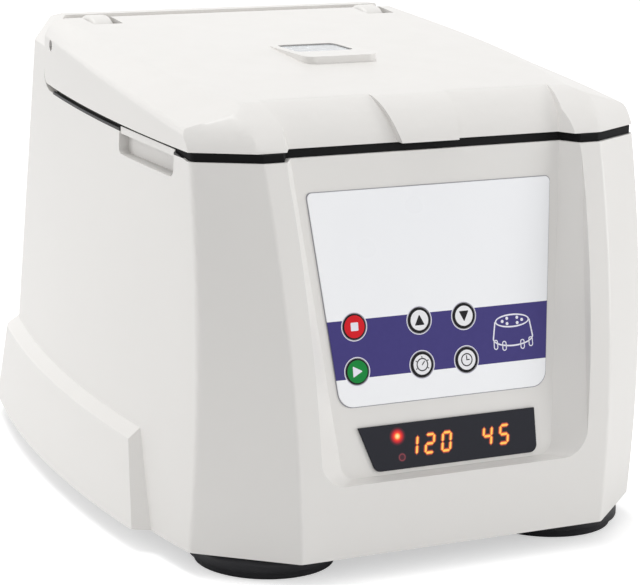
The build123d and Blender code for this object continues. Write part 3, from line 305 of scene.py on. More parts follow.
def addMouldedGrain():
    group, start, end = newGroup("mouldedGrain", patternIns, patternOuts)
    fine = noiseNode(group, start.outputs["Vector"], start.outputs["Scale"], 2.0, 0.5)
    broad = noiseNode(group, start.outputs["Vector"], effects["grainBroad"], 2.0, 0.4)
    group.links.new(fine, end.inputs["Height"])
    group.links.new(broad, end.inputs["Tone"])
    return group


def addTurnedLines():
    group, start, end = newGroup("turnedLines", patternIns, patternOuts)
    split = group.nodes.new("ShaderNodeSeparateXYZ")
    group.links.new(start.outputs["Vector"], split.inputs[0])
    across = mathNode(group, "MULTIPLY", split.outputs["X"], split.outputs["X"])
    deep = mathNode(group, "MULTIPLY", split.outputs["Y"], split.outputs["Y"])
    reach = mathNode(group, "SQRT", mathNode(group, "ADD", across, deep))
    lines = group.nodes.new("ShaderNodeCombineXYZ")
    group.links.new(reach, lines.inputs["X"])
    group.links.new(split.outputs["Z"], lines.inputs["Y"])
    fine = noiseNode(group, lines.outputs[0], start.outputs["Scale"], 3.0, 0.7)
    broad = noiseNode(group, start.outputs["Vector"], effects["turnedBroad"], 2.0, 0.5)
    group.links.new(fine, end.inputs["Height"])
    group.links.new(mathNode(group, "MULTIPLY", fine, broad), end.inputs["Tone"])
    return group


def addStraightBrush():
    group, start, end = newGroup("straightBrush", patternIns, patternOuts)
    stretch = group.nodes.new("ShaderNodeVectorMath")
    stretch.operation = "MULTIPLY"
    stretch.inputs[1].default_value = effects["brushStretch"]
    group.links.new(start.outputs["Vector"], stretch.inputs[0])
    fine = noiseNode(group, stretch.outputs[0], start.outputs["Scale"], 4.0, 0.7)
    broad = noiseNode(group, stretch.outputs[0], effects["brushBroad"], 2.0, 0.5)
    group.links.new(fine, end.inputs["Height"])
    group.links.new(broad, end.inputs["Tone"])
    return group


def addEdgeWear():
    group, start, end = newGroup("edgeWear", maskIns, maskOuts)
    shape = group.nodes.new("ShaderNodeNewGeometry")
    sharp = rangeNode(group, shape.outputs["Pointiness"], *effects["wearEdge"])
    noise = noiseNode(group, start.outputs["Vector"], effects["wearScale"])
    spots = rangeNode(group, noise, *effects["wearSpots"])
    worn = mathNode(group, "MULTIPLY", sharp, spots)
    mask = mathNode(group, "MULTIPLY", worn, start.outputs["Amount"], clamp=True)
    group.links.new(mask, end.inputs["Mask"])
    return group


def addSettledDust():
    group, start, end = newGroup("settledDust", maskIns, maskOuts)
    shape = group.nodes.new("ShaderNodeNewGeometry")
    split = group.nodes.new("ShaderNodeSeparateXYZ")
    group.links.new(shape.outputs["Normal"], split.inputs[0])
    flat = rangeNode(group, split.outputs["Z"], *effects["dustFlat"])
    noise = noiseNode(group, start.outputs["Vector"], effects["dustScale"], 5.0, 0.6)
    spots = rangeNode(group, noise, *effects["dustSpots"])
    settled = mathNode(group, "MULTIPLY", flat, spots)
    mask = mathNode(group, "MULTIPLY", settled, start.outputs["Amount"], clamp=True)
    group.links.new(mask, end.inputs["Mask"])
    return group


patterns = {"moulded": addMouldedGrain(), "turned": addTurnedLines(), "brushed": addStraightBrush()}
edgeWear, settledDust = addEdgeWear(), addSettledDust()

# One row for each finish: display colour, roughness, pattern with its scale and depth, mottle, dust and wear
dustColour = ink(176, 172, 164)
glossSpread = 0.2
finishes = {
    "shell_white": {"colour": (231, 229, 226), "rough": 0.36, "scale": 2600, "depth": 0.02, "mottle": 0.012,
                    "dust": 0.05, "specular": 0.4},
    "base_grey": {"colour": (150, 152, 154), "rough": 0.5, "scale": 1500, "depth": 0.1, "dust": 0.3,
                  "wear": 0.5, "worn": (190, 190, 190)},
    "steel": {"colour": (178, 179, 182), "rough": 0.32, "metal": 1.0, "pattern": "brushed", "scale": 1400,
              "depth": 0.12, "mottle": 0.12},
    "foot_rubber": {"colour": (20, 20, 25), "rough": 0.5, "scale": 1800, "depth": 0.18, "mottle": 0.15,
                    "dust": 0.03, "specular": 0.35},
    "seal_black": {"colour": (13, 13, 14), "rough": 0.7, "scale": 1500, "depth": 0.15, "mottle": 0.15,
                   "specular": 0.15},
    "bowl_steel": {"colour": (200, 201, 204), "rough": 0.26, "metal": 1.0, "pattern": "turned", "scale": 1100,
                   "depth": 0.1, "mottle": 0.1, "centre": rotorAxis},
    "motor_paint": {"colour": (44, 45, 48), "rough": 0.45, "scale": 900, "depth": 0.15, "mottle": 0.1,
                    "dust": 0.3, "wear": 0.6, "worn": (120, 120, 122)},
    "copper": {"colour": (196, 112, 70), "rough": 0.3, "metal": 1.0, "pattern": "turned", "scale": 1600,
               "depth": 0.4, "mottle": 0.25, "centre": rotorAxis},
    "rotor_metal": {"colour": (205, 207, 211), "rough": 0.34, "metal": 1.0, "pattern": "turned",
                    "scale": 1500, "depth": 0.12, "mottle": 0.1, "centre": rotorAxis, "wear": 0.4,
                    "worn": (235, 236, 238)},
    "black_plastic": {"colour": (34, 34, 36), "rough": 0.42, "scale": 1500, "depth": 0.1, "mottle": 0.12,
                      "dust": 0.12},
    "label_film": {"colour": (251, 252, 255), "rough": 0.3, "scale": 900, "depth": 0.015, "mottle": 0.01,
                   "specular": 0.25},
    "smoked_window": {"colour": (32, 33, 42), "rough": 0.16, "scale": 500, "depth": 0.01, "mottle": 0.05,
                      "specular": 0.25},
    "key_red": {"colour": (218, 20, 34), "rough": 0.35, "scale": 1600, "depth": 0.04, "mottle": 0.05,
                "specular": 0.2},
    "key_green": {"colour": (12, 136, 58), "rough": 0.35, "scale": 1600, "depth": 0.04, "mottle": 0.05,
                  "specular": 0.2},
    "key_white": {"colour": (240, 240, 243), "rough": 0.35, "scale": 1600, "depth": 0.04, "mottle": 0.02},
    "board_green": {"colour": (24, 96, 52), "rough": 0.35, "pattern": "brushed", "scale": 700, "depth": 0.1,
                    "mottle": 0.3, "dust": 0.3},
    "lamp_red": {"colour": (120, 24, 26), "rough": 0.15, "scale": 600, "depth": 0.02, "mottle": 0.1},
    "liner_grey": {"colour": (204, 204, 202), "rough": 0.5, "scale": 1700, "depth": 0.08, "mottle": 0.04,
                   "dust": 0.1},
    "clear_pane": {"colour": (236, 240, 244), "rough": 0.1, "scale": 300, "depth": 0.01, "mottle": 0.01,
                   "clear": 0.45},
    "sleeve_plastic": {"colour": (60, 92, 150), "rough": 0.4, "scale": 1500, "depth": 0.06, "mottle": 0.08},
    "inkBlack": {"colour": (16, 15, 19), "rough": 0.45, "scale": 3000, "depth": 0.03, "mottle": 0.1,
                 "specular": 0.2},
    "inkWhite": {"colour": (236, 235, 246), "rough": 0.45, "scale": 3000, "depth": 0.03, "mottle": 0.02},
    "inkGrey": {"colour": (150, 149, 156), "rough": 0.45, "scale": 3000, "depth": 0.03, "mottle": 0.05},
    "brass": {"colour": (206, 170, 96), "rough": 0.28, "metal": 1.0, "pattern": "brushed", "scale": 1800,
              "depth": 0.1, "mottle": 0.15},
}


def addFinish(name, colour, rough, scale, depth, mottle=0.06, pattern="moulded", metal=0.0, dust=0.0,
              wear=0.0, worn=(220, 220, 220), specular=0.5, centre=(0, 0), clear=0.0):
    material = bpy.data.materials.new(name)
    material.use_nodes = True
    tree = material.node_tree
    shader = tree.nodes["Principled BSDF"]
    shader.inputs["Metallic"].default_value = metal
    shader.inputs["Specular IOR Level"].default_value = specular
    shader.inputs["Transmission Weight"].default_value = clear
    vector = movedVector(tree, (*centre, 0))
    grain = tree.nodes.new("ShaderNodeGroup")
    grain.node_tree = patterns[pattern]
    grain.inputs["Scale"].default_value = scale
    tree.links.new(vector, grain.inputs["Vector"])
    base = ink(*colour)
    light = tuple(min(part * (1 + mottle), 1.0) for part in base)
    dark = tuple(part * (1 - mottle) for part in base[:3]) + (1.0,)
    tint = mixNode(tree, grain.outputs["Tone"], dark, light)
    for group, amount, second in ((edgeWear, wear, ink(*worn)), (settledDust, dust, dustColour)):
        if amount:
            effect = tree.nodes.new("ShaderNodeGroup")
            effect.node_tree = group
            effect.inputs["Amount"].default_value = amount
            tree.links.new(vector, effect.inputs["Vector"])
            tint = mixNode(tree, effect.outputs["Mask"], tint, second)
    tree.links.new(tint, shader.inputs["Base Color"])
    low, high = rough * (1 - glossSpread), rough * (1 + glossSpread)
    gloss = rangeNode(tree, grain.outputs["Tone"], 0.0, 1.0, low, high)
    tree.links.new(gloss, shader.inputs["Roughness"])
    bump = tree.nodes.new("ShaderNodeBump")
    bump.inputs["Strength"].default_value = depth
    bump.inputs["Distance"].default_value = mm
    tree.links.new(grain.outputs["Height"], bump.inputs["Height"])
    tree.links.new(bump.outputs["Normal"], shader.inputs["Normal"])
    return material


materials = {name: addFinish(name, **row) for name, row in finishes.items()}


def panelValue(tree, direction):
    # distance along a direction of the panel from its middle, in metres
    coords = tree.nodes.new("ShaderNodeTexCoord")
    shift = tree.nodes.new("ShaderNodeVectorMath")
    shift.operation = "SUBTRACT"
    shift.inputs[1].default_value = panelPlane.translation
    tree.links.new(coords.outputs["Object"], shift.inputs[0])
    along = tree.nodes.new("ShaderNodeVectorMath")
    along.operation = "DOT_PRODUCT"
    along.inputs[1].default_value = direction
    tree.links.new(shift.outputs[0], along.inputs[0])
    return along.outputs["Value"]


def baseLink(material):
    socket = material.node_tree.nodes["Principled BSDF"].inputs["Base Color"]
    return socket, socket.links[0].from_socket


# Printed band across the label
band = {"half": 14.0, "colour": (61, 54, 121), "mottled": (66, 59, 126), "spots": 300.0}


def printBand(material):
    tree = material.node_tree
    socket, plain = baseLink(material)
    height = panelValue(tree, panelPlane.col[1].to_3d())
    inside = mathNode(tree, "LESS_THAN", mathNode(tree, "ABSOLUTE", height), band["half"] * mm)
    spots = noiseNode(tree, movedVector(tree), band["spots"])
    purple = mixNode(tree, spots, ink(*band["colour"]), ink(*band["mottled"]))
    tree.links.new(mixNode(tree, inside, plain, purple), socket)


# Glow of the lit lamp, and a painted glowing ring on the unlit one, in the smoked window
lamps = {
    "lit": (-28.0, -43.6),
    "unlit": (-26.1, -53.9),
    "glow": [(0.0, (255, 240, 190)), (0.2, (255, 204, 110)), (0.36, (255, 72, 30)), (0.56, (204, 16, 22)),
             (0.8, (84, 10, 20)), (1.0, (0, 0, 0))],
    "glowReach": 4.6,
    # painted light: the unlit lamp, though off, emits a dim red disc with a brighter ring
    "ring": [(0.0, (52, 20, 28)), (0.5, (70, 22, 30)), (0.66, (146, 60, 66)), (0.8, (60, 24, 30)),
             (1.0, (0, 0, 0))],
    "ringReach": 2.4,
}


def lampDistance(tree, place):
    across = mathNode(tree, "SUBTRACT", panelValue(tree, panelPlane.col[0].to_3d()), place[0] * mm)
    up = mathNode(tree, "SUBTRACT", panelValue(tree, panelPlane.col[1].to_3d()), place[1] * mm)
    return mathNode(tree, "SQRT", mathNode(tree, "ADD", mathNode(tree, "MULTIPLY", across, across),
                                           mathNode(tree, "MULTIPLY", up, up)))


def rampNode(tree, value, stops):
    ramp = tree.nodes.new("ShaderNodeValToRGB")
    for number, (place, colour) in enumerate(stops):
        stop = ramp.color_ramp.elements[number] if number < 2 else ramp.color_ramp.elements.new(place)
        stop.position = place
        stop.color = ink(*colour)
    tree.links.new(value, ramp.inputs[0])
    return ramp.outputs["Color"]


def lightWindow(material):
    tree = material.node_tree
    glows = []
    for place, reach, stops in ((lamps["lit"], "glowReach", "glow"), (lamps["unlit"], "ringReach", "ring")):
        share = mathNode(tree, "DIVIDE", lampDistance(tree, place), lamps[reach] * mm)
        glows.append(rampNode(tree, share, lamps[stops]))
    both = tree.nodes.new("ShaderNodeMix")
    both.data_type = "RGBA"
    both.blend_type = "ADD"
    both.inputs["Factor"].default_value = 1.0
    for socket, glow in zip(both.inputs[6:8], glows):  # the colour sockets
        tree.links.new(glow, socket)
    shader = tree.nodes["Principled BSDF"]
    tree.links.new(both.outputs[2], shader.inputs["Emission Color"])
    shader.inputs["Emission Strength"].default_value = 1.0


# Self-lit inks of the digits, uneven as a real module's light is
litTones = {
    "litHalo": ((104, 22, 20), (122, 28, 20)),
    "litEdge": ((228, 70, 14), (240, 92, 20)),
    "litCore": ((255, 186, 64), (255, 214, 96)),
}
unlitTone, litSpots = (0.02, 0.01, 0.01, 1), 700.0


def addLitInk(name, low, high):
    material = bpy.data.materials.new(name)
    material.use_nodes = True
    tree = material.node_tree
    shader = tree.nodes["Principled BSDF"]
    spots = noiseNode(tree, movedVector(tree), litSpots)
    tree.links.new(mixNode(tree, spots, ink(*low), ink(*high)), shader.inputs["Emission Color"])
    shader.inputs["Base Color"].default_value = unlitTone
    shader.inputs["Emission Strength"].default_value = 1.0
    return material


printBand(materials["label_film"])
lightWindow(materials["smoked_window"])
litInks = {name: addLitInk(name, *tones) for name, tones in litTones.items()}
print("finishes ready:", len(bpy.data.materials))

# Camera where the photo was taken from: degrees, millimetres for distance and target, metres for sight
viewpoint = {
    "azimuth": -28.17,
    "elevation": 13.19,
    "roll": 1.6,
    "lens": 149.14,
    "distance": 1327.1,
    "target": (-27.74, -83.97, 116.95),
    "sight": 50,
}


def addCamera():
    around, above = radians(viewpoint["azimuth"]), radians(viewpoint["elevation"])
    back = Vector((sin(around) * cos(above), -cos(around) * cos(above), sin(above)))
    bpy.ops.object.camera_add()
    camera = bpy.context.object
    camera.name = "photoCamera"
    camera.data.lens = viewpoint["lens"]
    camera.data.clip_end = viewpoint["sight"]
    target = Vector(viewpoint["target"]) * mm
    camera.location = target + back * viewpoint["distance"] * mm
    right = (-back).cross(Vector((0, 0, 1))).normalized()
    up = right.cross(-back)
    turn = radians(viewpoint["roll"])
    side = right * cos(turn) + up * sin(turn)
    top = up * cos(turn) - right * sin(turn)
    camera.rotation_mode = "QUATERNION"
    camera.rotation_quaternion = Matrix((side, top, back)).transposed().to_quaternion()
    bpy.context.scene.camera = camera


# Studio: white floor and soft boxes, in metres and watts
studio = {
    "aim": (0, 0, 0.11),
    "floorSize": 12.0,
    "floorWhite": 0.85,
    "floorGlow": 0.5,
    "roomWhite": 0.55,
    "lamps": {
        "leftBox": {"place": (-1.9, 1.2, 0.2), "size": 1.4, "power": 19},
        "rightBox": {"place": (2.0, -1.2, 0.35), "size": 1.0, "power": 19},
        "frontBox": {"place": (-0.3, -2.3, 0.5), "size": 0.4, "power": 2.5},
        "topBox": {"place": (-0.2, 0.5, 2.1), "size": 1.2, "power": 22},
    },
}


def addStudio():
    pickNone()
    bpy.ops.mesh.primitive_plane_add(size=studio["floorSize"])
    floor = named("studioFloor")
    paper = bpy.data.materials.new("studioPaper")
    paper.use_nodes = True
    tree = paper.node_tree
    tree.nodes.clear()
    white = tree.nodes.new("ShaderNodeBsdfDiffuse")
    white.inputs["Color"].default_value = (studio["floorWhite"],) * 3 + (1,)
    glow = tree.nodes.new("ShaderNodeEmission")
    glow.inputs["Strength"].default_value = studio["floorGlow"]
    rays = tree.nodes.new("ShaderNodeLightPath")
    lit = tree.nodes.new("ShaderNodeAddShader")
    pick = tree.nodes.new("ShaderNodeMixShader")
    out = tree.nodes.new("ShaderNodeOutputMaterial")
    tree.links.new(white.outputs[0], lit.inputs[0])
    tree.links.new(glow.outputs[0], lit.inputs[1])
    tree.links.new(rays.outputs["Is Camera Ray"], pick.inputs[0])
    tree.links.new(white.outputs[0], pick.inputs[1])
    tree.links.new(lit.outputs[0], pick.inputs[2])
    tree.links.new(pick.outputs[0], out.inputs["Surface"])
    floor.data.materials.append(paper)

    world = bpy.data.worlds.new("studioRoom")
    bpy.context.scene.world = world
    world.use_nodes = True
    tree = world.node_tree
    tree.nodes.clear()
    dim = tree.nodes.new("ShaderNodeBackground")
    dim.inputs["Color"].default_value = (1, 1, 1, 1)
    dim.inputs["Strength"].default_value = studio["roomWhite"]
    seen = tree.nodes.new("ShaderNodeBackground")
    seen.inputs["Color"].default_value = (1, 1, 1, 1)
    rays = tree.nodes.new("ShaderNodeLightPath")
    mirrored = mathNode(tree, "MAXIMUM", rays.outputs["Is Glossy Ray"], rays.outputs["Is Transmission Ray"])
    seenWhite = mathNode(tree, "MAXIMUM", mirrored, rays.outputs["Is Camera Ray"])
    pick = tree.nodes.new("ShaderNodeMixShader")
    out = tree.nodes.new("ShaderNodeOutputWorld")
    tree.links.new(seenWhite, pick.inputs[0])
    tree.links.new(dim.outputs[0], pick.inputs[1])
    tree.links.new(seen.outputs[0], pick.inputs[2])
    tree.links.new(pick.outputs[0], out.inputs["Surface"])

    aim = Vector(studio["aim"])
    for name, box in studio["lamps"].items():
        bpy.ops.object.light_add(type="AREA", location=box["place"])
        lamp = bpy.context.object
        lamp.name = name
        lamp.data.size = box["size"]
        lamp.data.energy = box["power"]
        lamp.rotation_mode = "QUATERNION"
        lamp.rotation_quaternion = (aim - Vector(box["place"])).to_track_quat("-Z", "Y")
    bpy.context.scene.view_settings.view_transform = "Standard"


addCamera()
addStudio()
print("camera and studio ready")

# Skins: merged copies of the CAD pieces with softened edges, in millimetres of edge
skins = {
    "housing_shell": 0.8, "lid_shell": 0.8, "console_label": 0.2, "display_window": 0.4, "rim_gasket": 0.3,
    "foot_front_left": 0.8, "foot_front_right": 0.8, "foot_rear_left": 0.8, "foot_rear_right": 0.8,
    "hinge_knuckles": 0.3, "hinge_lugs": 0.3, "sight_pane": 0.4, "port_tube": 0.2, "base_plate": 0.3,
    "lid_liner": 0.4, "lid_striker": 0.3, "chamber_bowl": 0.3, "chamber_seal": 0.4, "shaft_boot": 0.3,
    "rotor_head": 0.4, "rotor_nut": 0.3, "motor_shaft": 0.1, "inlet_socket": 0.4, "switch_frame": 0.3,
    "power_rocker": 0.4, "fuse_holder": 0.3, "fan_frame": 0.3, "fan_impeller": 0.15, "lock_pin": 0.1,
    "lock_solenoid": 0.3, "transformer": 0.5, "motor_can": 0.4,
    "key_stop": 0.0, "key_start": 0.0, "key_up": 0.0, "key_mode": 0.0, "key_down": 0.0, "key_timer": 0.0,
}
skins.update({f"tube_sleeve_{number}": 0.25 for number in range(1, 7)})
skinWork = {
    "mergeReach": 0.002, "flatTurn": 0.2, "sharpTurn": 30, "bevelSteps": 2, "smoothTurn": 32, "weight": 70,
}


def skinOf(nodeName, edge):
    name = nodeName + "_skin"
    copy = bpy.data.objects.new(name, nodes[nodeName].data.copy())
    bpy.context.scene.collection.objects.link(copy)
    copy.data.name = name
    editAll(copy)
    bpy.ops.mesh.remove_doubles(threshold=skinWork["mergeReach"] * mm)
    bpy.ops.mesh.dissolve_limited(angle_limit=radians(skinWork["flatTurn"]))
    objectMode()
    if edge:
        applyModifier(copy, "BEVEL", width=edge * mm, segments=skinWork["bevelSteps"], limit_method="ANGLE",
                      angle_limit=radians(skinWork["sharpTurn"]), use_clamp_overlap=True,
                      miter_outer="MITER_ARC")
    smoothByAngle(copy, skinWork["smoothTurn"], skinWork["weight"])
    slot = slotOf[nodeName]
    rides(copy, nodes[nodeName]["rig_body"], materials[slot])
    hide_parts(nodeName)
    return copy


for nodeName, node in nodes.items():
    finish = materials[slotOf[nodeName]]
    for place in node.material_slots:
        place.material = finish
    if not node.material_slots:
        node.data.materials.append(finish)
pieces = {nodeName: skinOf(nodeName, edge) for nodeName, edge in skins.items()}
print("skins ready:", len(pieces))

# Brass pins of the mains inlet, picked out of its skin
inletPins = {
    "across": 39.0, "height": 66.0, "places": [(0.0, 3.4), (-7.0, -2.0), (7.0, -2.0)], "half": (1.1, 2.1),
    "deepest": -13.9, "highest": -1.8,
}


def isPin(face):
    spot = (rearPlane(inletPins["across"], inletPins["height"]).inverted() @ face.center) / mm
    if not inletPins["deepest"] < spot.z < inletPins["highest"]:
        return False
    halfX, halfY = inletPins["half"]
    return any(abs(spot.x - x) < halfX and abs(spot.y - y) < halfY for x, y in inletPins["places"])


paintFaces(pieces["inlet_socket"], materials["brass"], isPin)


# Outlines with rounded corners, from corners given with their radius
def roundedPoints(corners, steps=8):
    points = []
    for number, (x, y, radius) in enumerate(corners):
        corner = Vector((x, y))
        before = (Vector(corners[number - 1][:2]) - corner).normalized()
        after = (Vector(corners[(number + 1) % len(corners)][:2]) - corner).normalized()
        half = before.angle(after) / 2
        centre = corner + (before + after).normalized() * radius / sin(half)
        first, last = (corner + way * radius / tan(half) - centre for way in (before, after))
        sweep = first.angle_signed(last)
        for step in range(steps + 1):
            points.append(tuple(centre + Matrix.Rotation(-sweep * step / steps, 2) @ first))
    return points


def framePlate(name, points, width, thickness):
    # flat frame, its outer edge on the given outline
    plate = outlineFace(name, points)
    editAll(plate)
    bpy.ops.mesh.inset(thickness=width * mm)
    bpy.ops.mesh.delete(type="FACE")
    objectMode()
    return thickened(plate, thickness)


# Label: painted shadow line round its edge, rings round the keys and a plain rotor picture on the band
label = {
    "halfTop": 67.6, "halfBottom": 57.1, "top": 75.2, "bottom": -27.4, "topRound": 2.5, "bottomRound": 8.0,
    "face": 0.8, "shadowLine": 0.38, "shadowWidth": 2.0, "shadowThick": 0.3, "printThick": 0.06,
    "printSunk": 0.03,
}
keys = {
    "stop": (-47.1, 10.7), "start": (-47.1, -10.7), "up": (-11.6, 10.7), "mode": (-11.6, -10.7),
    "down": (13.25, 10.7), "timer": (13.25, -10.7),
}
keyPrint = {"face": 1.1, "ring": 5.85, "ringWidth": 0.95, "thinWidth": 0.4, "rim": 5.7, "outerGrey": 6.62,
            "outerWhite": 6.98, "lineWidth": 0.36}


def onLabel(thing, across, up):
    return layOn(thing, panelPlane, across, up, label["face"] - label["printSunk"])


def addLabelShadowLine():
    grow = label["shadowLine"]
    bottom, top = label["halfBottom"] + grow, label["halfTop"] + grow
    low, high = label["bottom"] - grow, label["top"] + grow
    outline = roundedPoints([
        (-bottom, low, label["bottomRound"]), (bottom, low, label["bottomRound"]),
        (top, high, label["topRound"]), (-top, high, label["topRound"])])
    # painted shadow: a grey frame just wider than the label stands for the shade along the label's recessed
    # edge
    plate = framePlate("labelShadowLine", outline, label["shadowWidth"], label["shadowThick"])
    rides(layOn(plate, panelPlane), "housing", materials["inkGrey"])


def addKeyPrints(key, across, up):
    dark = key in ("stop", "start")
    thick = label["printThick"]
    for tone in ("Grey", "White"):
        line = ringPlate(f"{key}{tone}Ring", keyPrint["outer" + tone], keyPrint["lineWidth"], thick)
        rides(onLabel(line, across, up), "housing", materials["ink" + tone])
    width = keyPrint["thinWidth"] if dark else keyPrint["ringWidth"]
    ring = ringPlate(key + "Ring", keyPrint["ring"], width, thick)
    symbol = keySymbol(key, key + "Symbol", thick)
    out = keyPrint["face"] - label["printSunk"]
    rides(layOn(ring, panelPlane, across, up, out), key + "_key", materials["inkBlack"])
    centre = Vector((across, up))

    def isRim(face):
        spot = (panelPlane.inverted() @ face.center) / mm
        return (spot.to_2d() - centre).length > keyPrint["rim"]

    paintFaces(pieces["key_" + key], materials["inkBlack"], isRim)
    colour = materials["inkWhite" if dark else "inkBlack"]
    rides(layOn(symbol, panelPlane, across, up, out), key + "_key", colour)


# Symbols on the keys: a square, triangles, a gauge and a clock stand for what the keys do
square = {"half": 2.0, "round": 0.4}
triangle = {"corners": [(-2.7, -2.4, 0.25), (2.7, -2.4, 0.25), (0.0, 2.8, 0.25)],
            "spin": {"start": -90, "up": 0, "down": 180}}
dial = {"radius": 3.2, "line": 0.55, "hand": 0.5, "long": 2.2, "short": 1.6, "gaugeSpin": -40,
        "shortSpin": -90, "ticks": (-120, -60, 0, 60, 120), "tickHalf": 0.22, "tickLow": 3.3, "tickHigh": 4.1}


def handPlate(name, length, thick):
    half = dial["hand"] / 2
    return barPlate(name, -half, -half, half, length, thick)


def keySymbol(key, name, thick):
    if key == "stop":
        half, bend = square["half"], square["round"]
        corners = [(-half, -half, bend), (half, -half, bend), (half, half, bend), (-half, half, bend)]
        return outlinePlate(name, roundedPoints(corners), thick)
    if key in triangle["spin"]:
        plate = outlinePlate(name, roundedPoints(triangle["corners"]), thick)
        return layOn(plate, Matrix(), spin=triangle["spin"][key])
    ring = ringPlate(name, dial["radius"], dial["line"], thick)
    first = handPlate(name + "First", dial["long"], thick)
    if key == "mode":
        ticks = []
        for spin in dial["ticks"]:
            half = dial["tickHalf"]
            tick = barPlate(name + "Tick", -half, dial["tickLow"], half, dial["tickHigh"], thick)
            ticks.append(layOn(tick, Matrix(), spin=spin))
        return joined(name, [ring, layOn(first, Matrix(), spin=dial["gaugeSpin"])] + ticks)
    second = layOn(handPlate(name + "Second", dial["short"], thick), Matrix(), spin=dial["shortSpin"])
    return joined(name, [ring, first, second])


# Rotor picture: a drum with a rim, holes and hanging tubes, drawn in lines
picture = {
    "place": (40.4, 0.4), "line": 0.75, "rim": 9.8, "rimFlat": 0.34, "rimUp": 5.6,
    "drum": 11.6, "drumTall": 4.4, "drumUp": -2.6, "drumSteps": 24,
    "holes": [(-5.6, 0.0), (-2.9, 1.3), (-2.9, -1.3), (2.9, 1.3), (2.9, -1.3), (5.6, 0.0)], "holeRadius": 0.8,
    "holeSides": 20, "tubes": {-10.0: -6.7, -5.2: -7.6, 5.2: -7.6, 10.0: -6.7}, "tubeRadius": 1.25,
    "tubeLine": 0.5, "tubeLength": 2.4, "tubeSides": 24,
}


def addRotorPicture():
    thick, line, rimUp = label["printThick"], picture["line"], picture["rimUp"]
    rim = ringPlate("rim", picture["rim"], line, thick, flat=picture["rimFlat"])
    parts = [layOn(rim, Matrix(), 0, rimUp)]
    for x, y in picture["holes"]:
        hole = discPlate("hole", picture["holeRadius"], thick, picture["holeSides"])
        parts.append(layOn(hole, Matrix(), x, rimUp + y))
    wide, tall, low, steps = (picture[name] for name in ("drum", "drumTall", "drumUp", "drumSteps"))
    turns = [pi + pi * step / steps for step in range(steps + 1)]
    outer = [(wide * cos(turn), low + tall * sin(turn)) for turn in turns]
    inner = [((wide - line) * cos(turn), low + (tall - line) * sin(turn)) for turn in reversed(turns)]
    end = picture["rim"] - line / 2
    outline = outer + [(end + line, rimUp), (end, rimUp)] + inner + [(-end, rimUp), (-end - line, rimUp)]
    parts.append(outlinePlate("belly", outline, thick))
    for x, y in picture["tubes"].items():
        tube = ringPlate("tube", picture["tubeRadius"], picture["tubeLine"], thick, picture["tubeSides"],
                         stretch=picture["tubeLength"])
        parts.append(layOn(tube, Matrix(), x, y))
    whole = onLabel(joined("rotorPicture", parts), *picture["place"])
    rides(whole, "housing", materials["inkWhite"])


addLabelShadowLine()
for key, (across, up) in keys.items():
    addKeyPrints(key, across, up)
addRotorPicture()
print("label printed")

# Lit digits on the window, each of seven slanting segments with a bright core, a red edge and a dim halo
digits = {
    "speed": ("120", (-19.7, -10.4, -1.1)),
    "timer": ("45", (22.0, 31.4)),
    "row": -48.9, "halfTall": 4.35, "halfWide": 2.2, "stroke": 1.1, "gap": 0.2, "slant": 0.13,
    "face": 1.2, "layers": {"litHalo": (0.72, 0.04), "litEdge": (0.3, 0.06), "litCore": (-0.05, 0.08)},
}
segmentEnds = {
    "a": ((-1, 1), (1, 1)), "b": ((1, 1), (1, 0)), "c": ((1, 0), (1, -1)), "d": ((-1, -1), (1, -1)),
    "e": ((-1, 0), (-1, -1)), "f": ((-1, 1), (-1, 0)), "g": ((-1, 0), (1, 0)),
}
segmentsOf = {"0": "abcdef", "1": "bc", "2": "abged", "3": "abgcd", "4": "fgbc", "5": "afgcd", "6": "afgcde",
              "7": "abc", "8": "abcdefg", "9": "abfgcd"}


def segmentPlate(ends, grow, thickness):
    first, last = [Vector((x * digits["halfWide"], y * digits["halfTall"])) for x, y in ends]
    along = (last - first).normalized()
    side = Vector((-along.y, along.x))
    half = digits["stroke"] / 2 + grow
    first, last = first + along * (digits["gap"] - grow), last - along * (digits["gap"] - grow)
    points = [first, first + (along - side) * half, last - (along + side) * half, last,
              last - (along - side) * half, first + (along + side) * half]
    return outlinePlate("segment", [(p.x + p.y * digits["slant"], p.y) for p in points], thickness)


def addDigits(name, text, places):
    out = digits["face"] - label["printSunk"]
    for finish, (grow, thickness) in digits["layers"].items():
        parts = []
        for figure, across in zip(text, places):
            for letter in segmentsOf[figure]:
                plate = segmentPlate(segmentEnds[letter], grow, thickness)
                parts.append(layOn(plate, panelPlane, across, digits["row"], out))
        rides(joined(f"{name}_{finish}", parts), "housing", litInks[finish])


for name in ("speed", "timer"):
    addDigits(name, *digits[name])
print("digits lit")

# Seam: the housing's top edge painted in the seal's black, partly the seal's colour and partly painted shade
# of the gap under the lid, and a pale sill in front of it in each finger pocket
seam = {
    "height": 198.0, "rear": 69.5, "sillFront": (122.85, -113.9), "sillRear": (121.0, -46.9),
    "sillLow": 196.9, "sillTall": 3.4, "sillThick": 0.5,
}


def addSealLipAndSeamShade():
    material = addFinish("housing_white", **finishes["shell_white"])
    tree = material.node_tree
    socket, plain = baseLink(material)
    split = tree.nodes.new("ShaderNodeSeparateXYZ")
    tree.links.new(movedVector(tree), split.inputs[0])
    # painted shade: the housing's edge above the seam height and in front of the rear end takes the seal's
    # black, standing for the seal and the shade in the gap under the lid
    above = mathNode(tree, "GREATER_THAN", split.outputs["Z"], seam["height"] * mm)
    before = mathNode(tree, "LESS_THAN", split.outputs["Y"], seam["rear"] * mm)
    sealAndSeamShade = mathNode(tree, "MULTIPLY", above, before)
    tree.links.new(mixNode(tree, sealAndSeamShade, plain, ink(*finishes["seal_black"]["colour"])), socket)
    pieces["housing_shell"].data.materials[0] = material


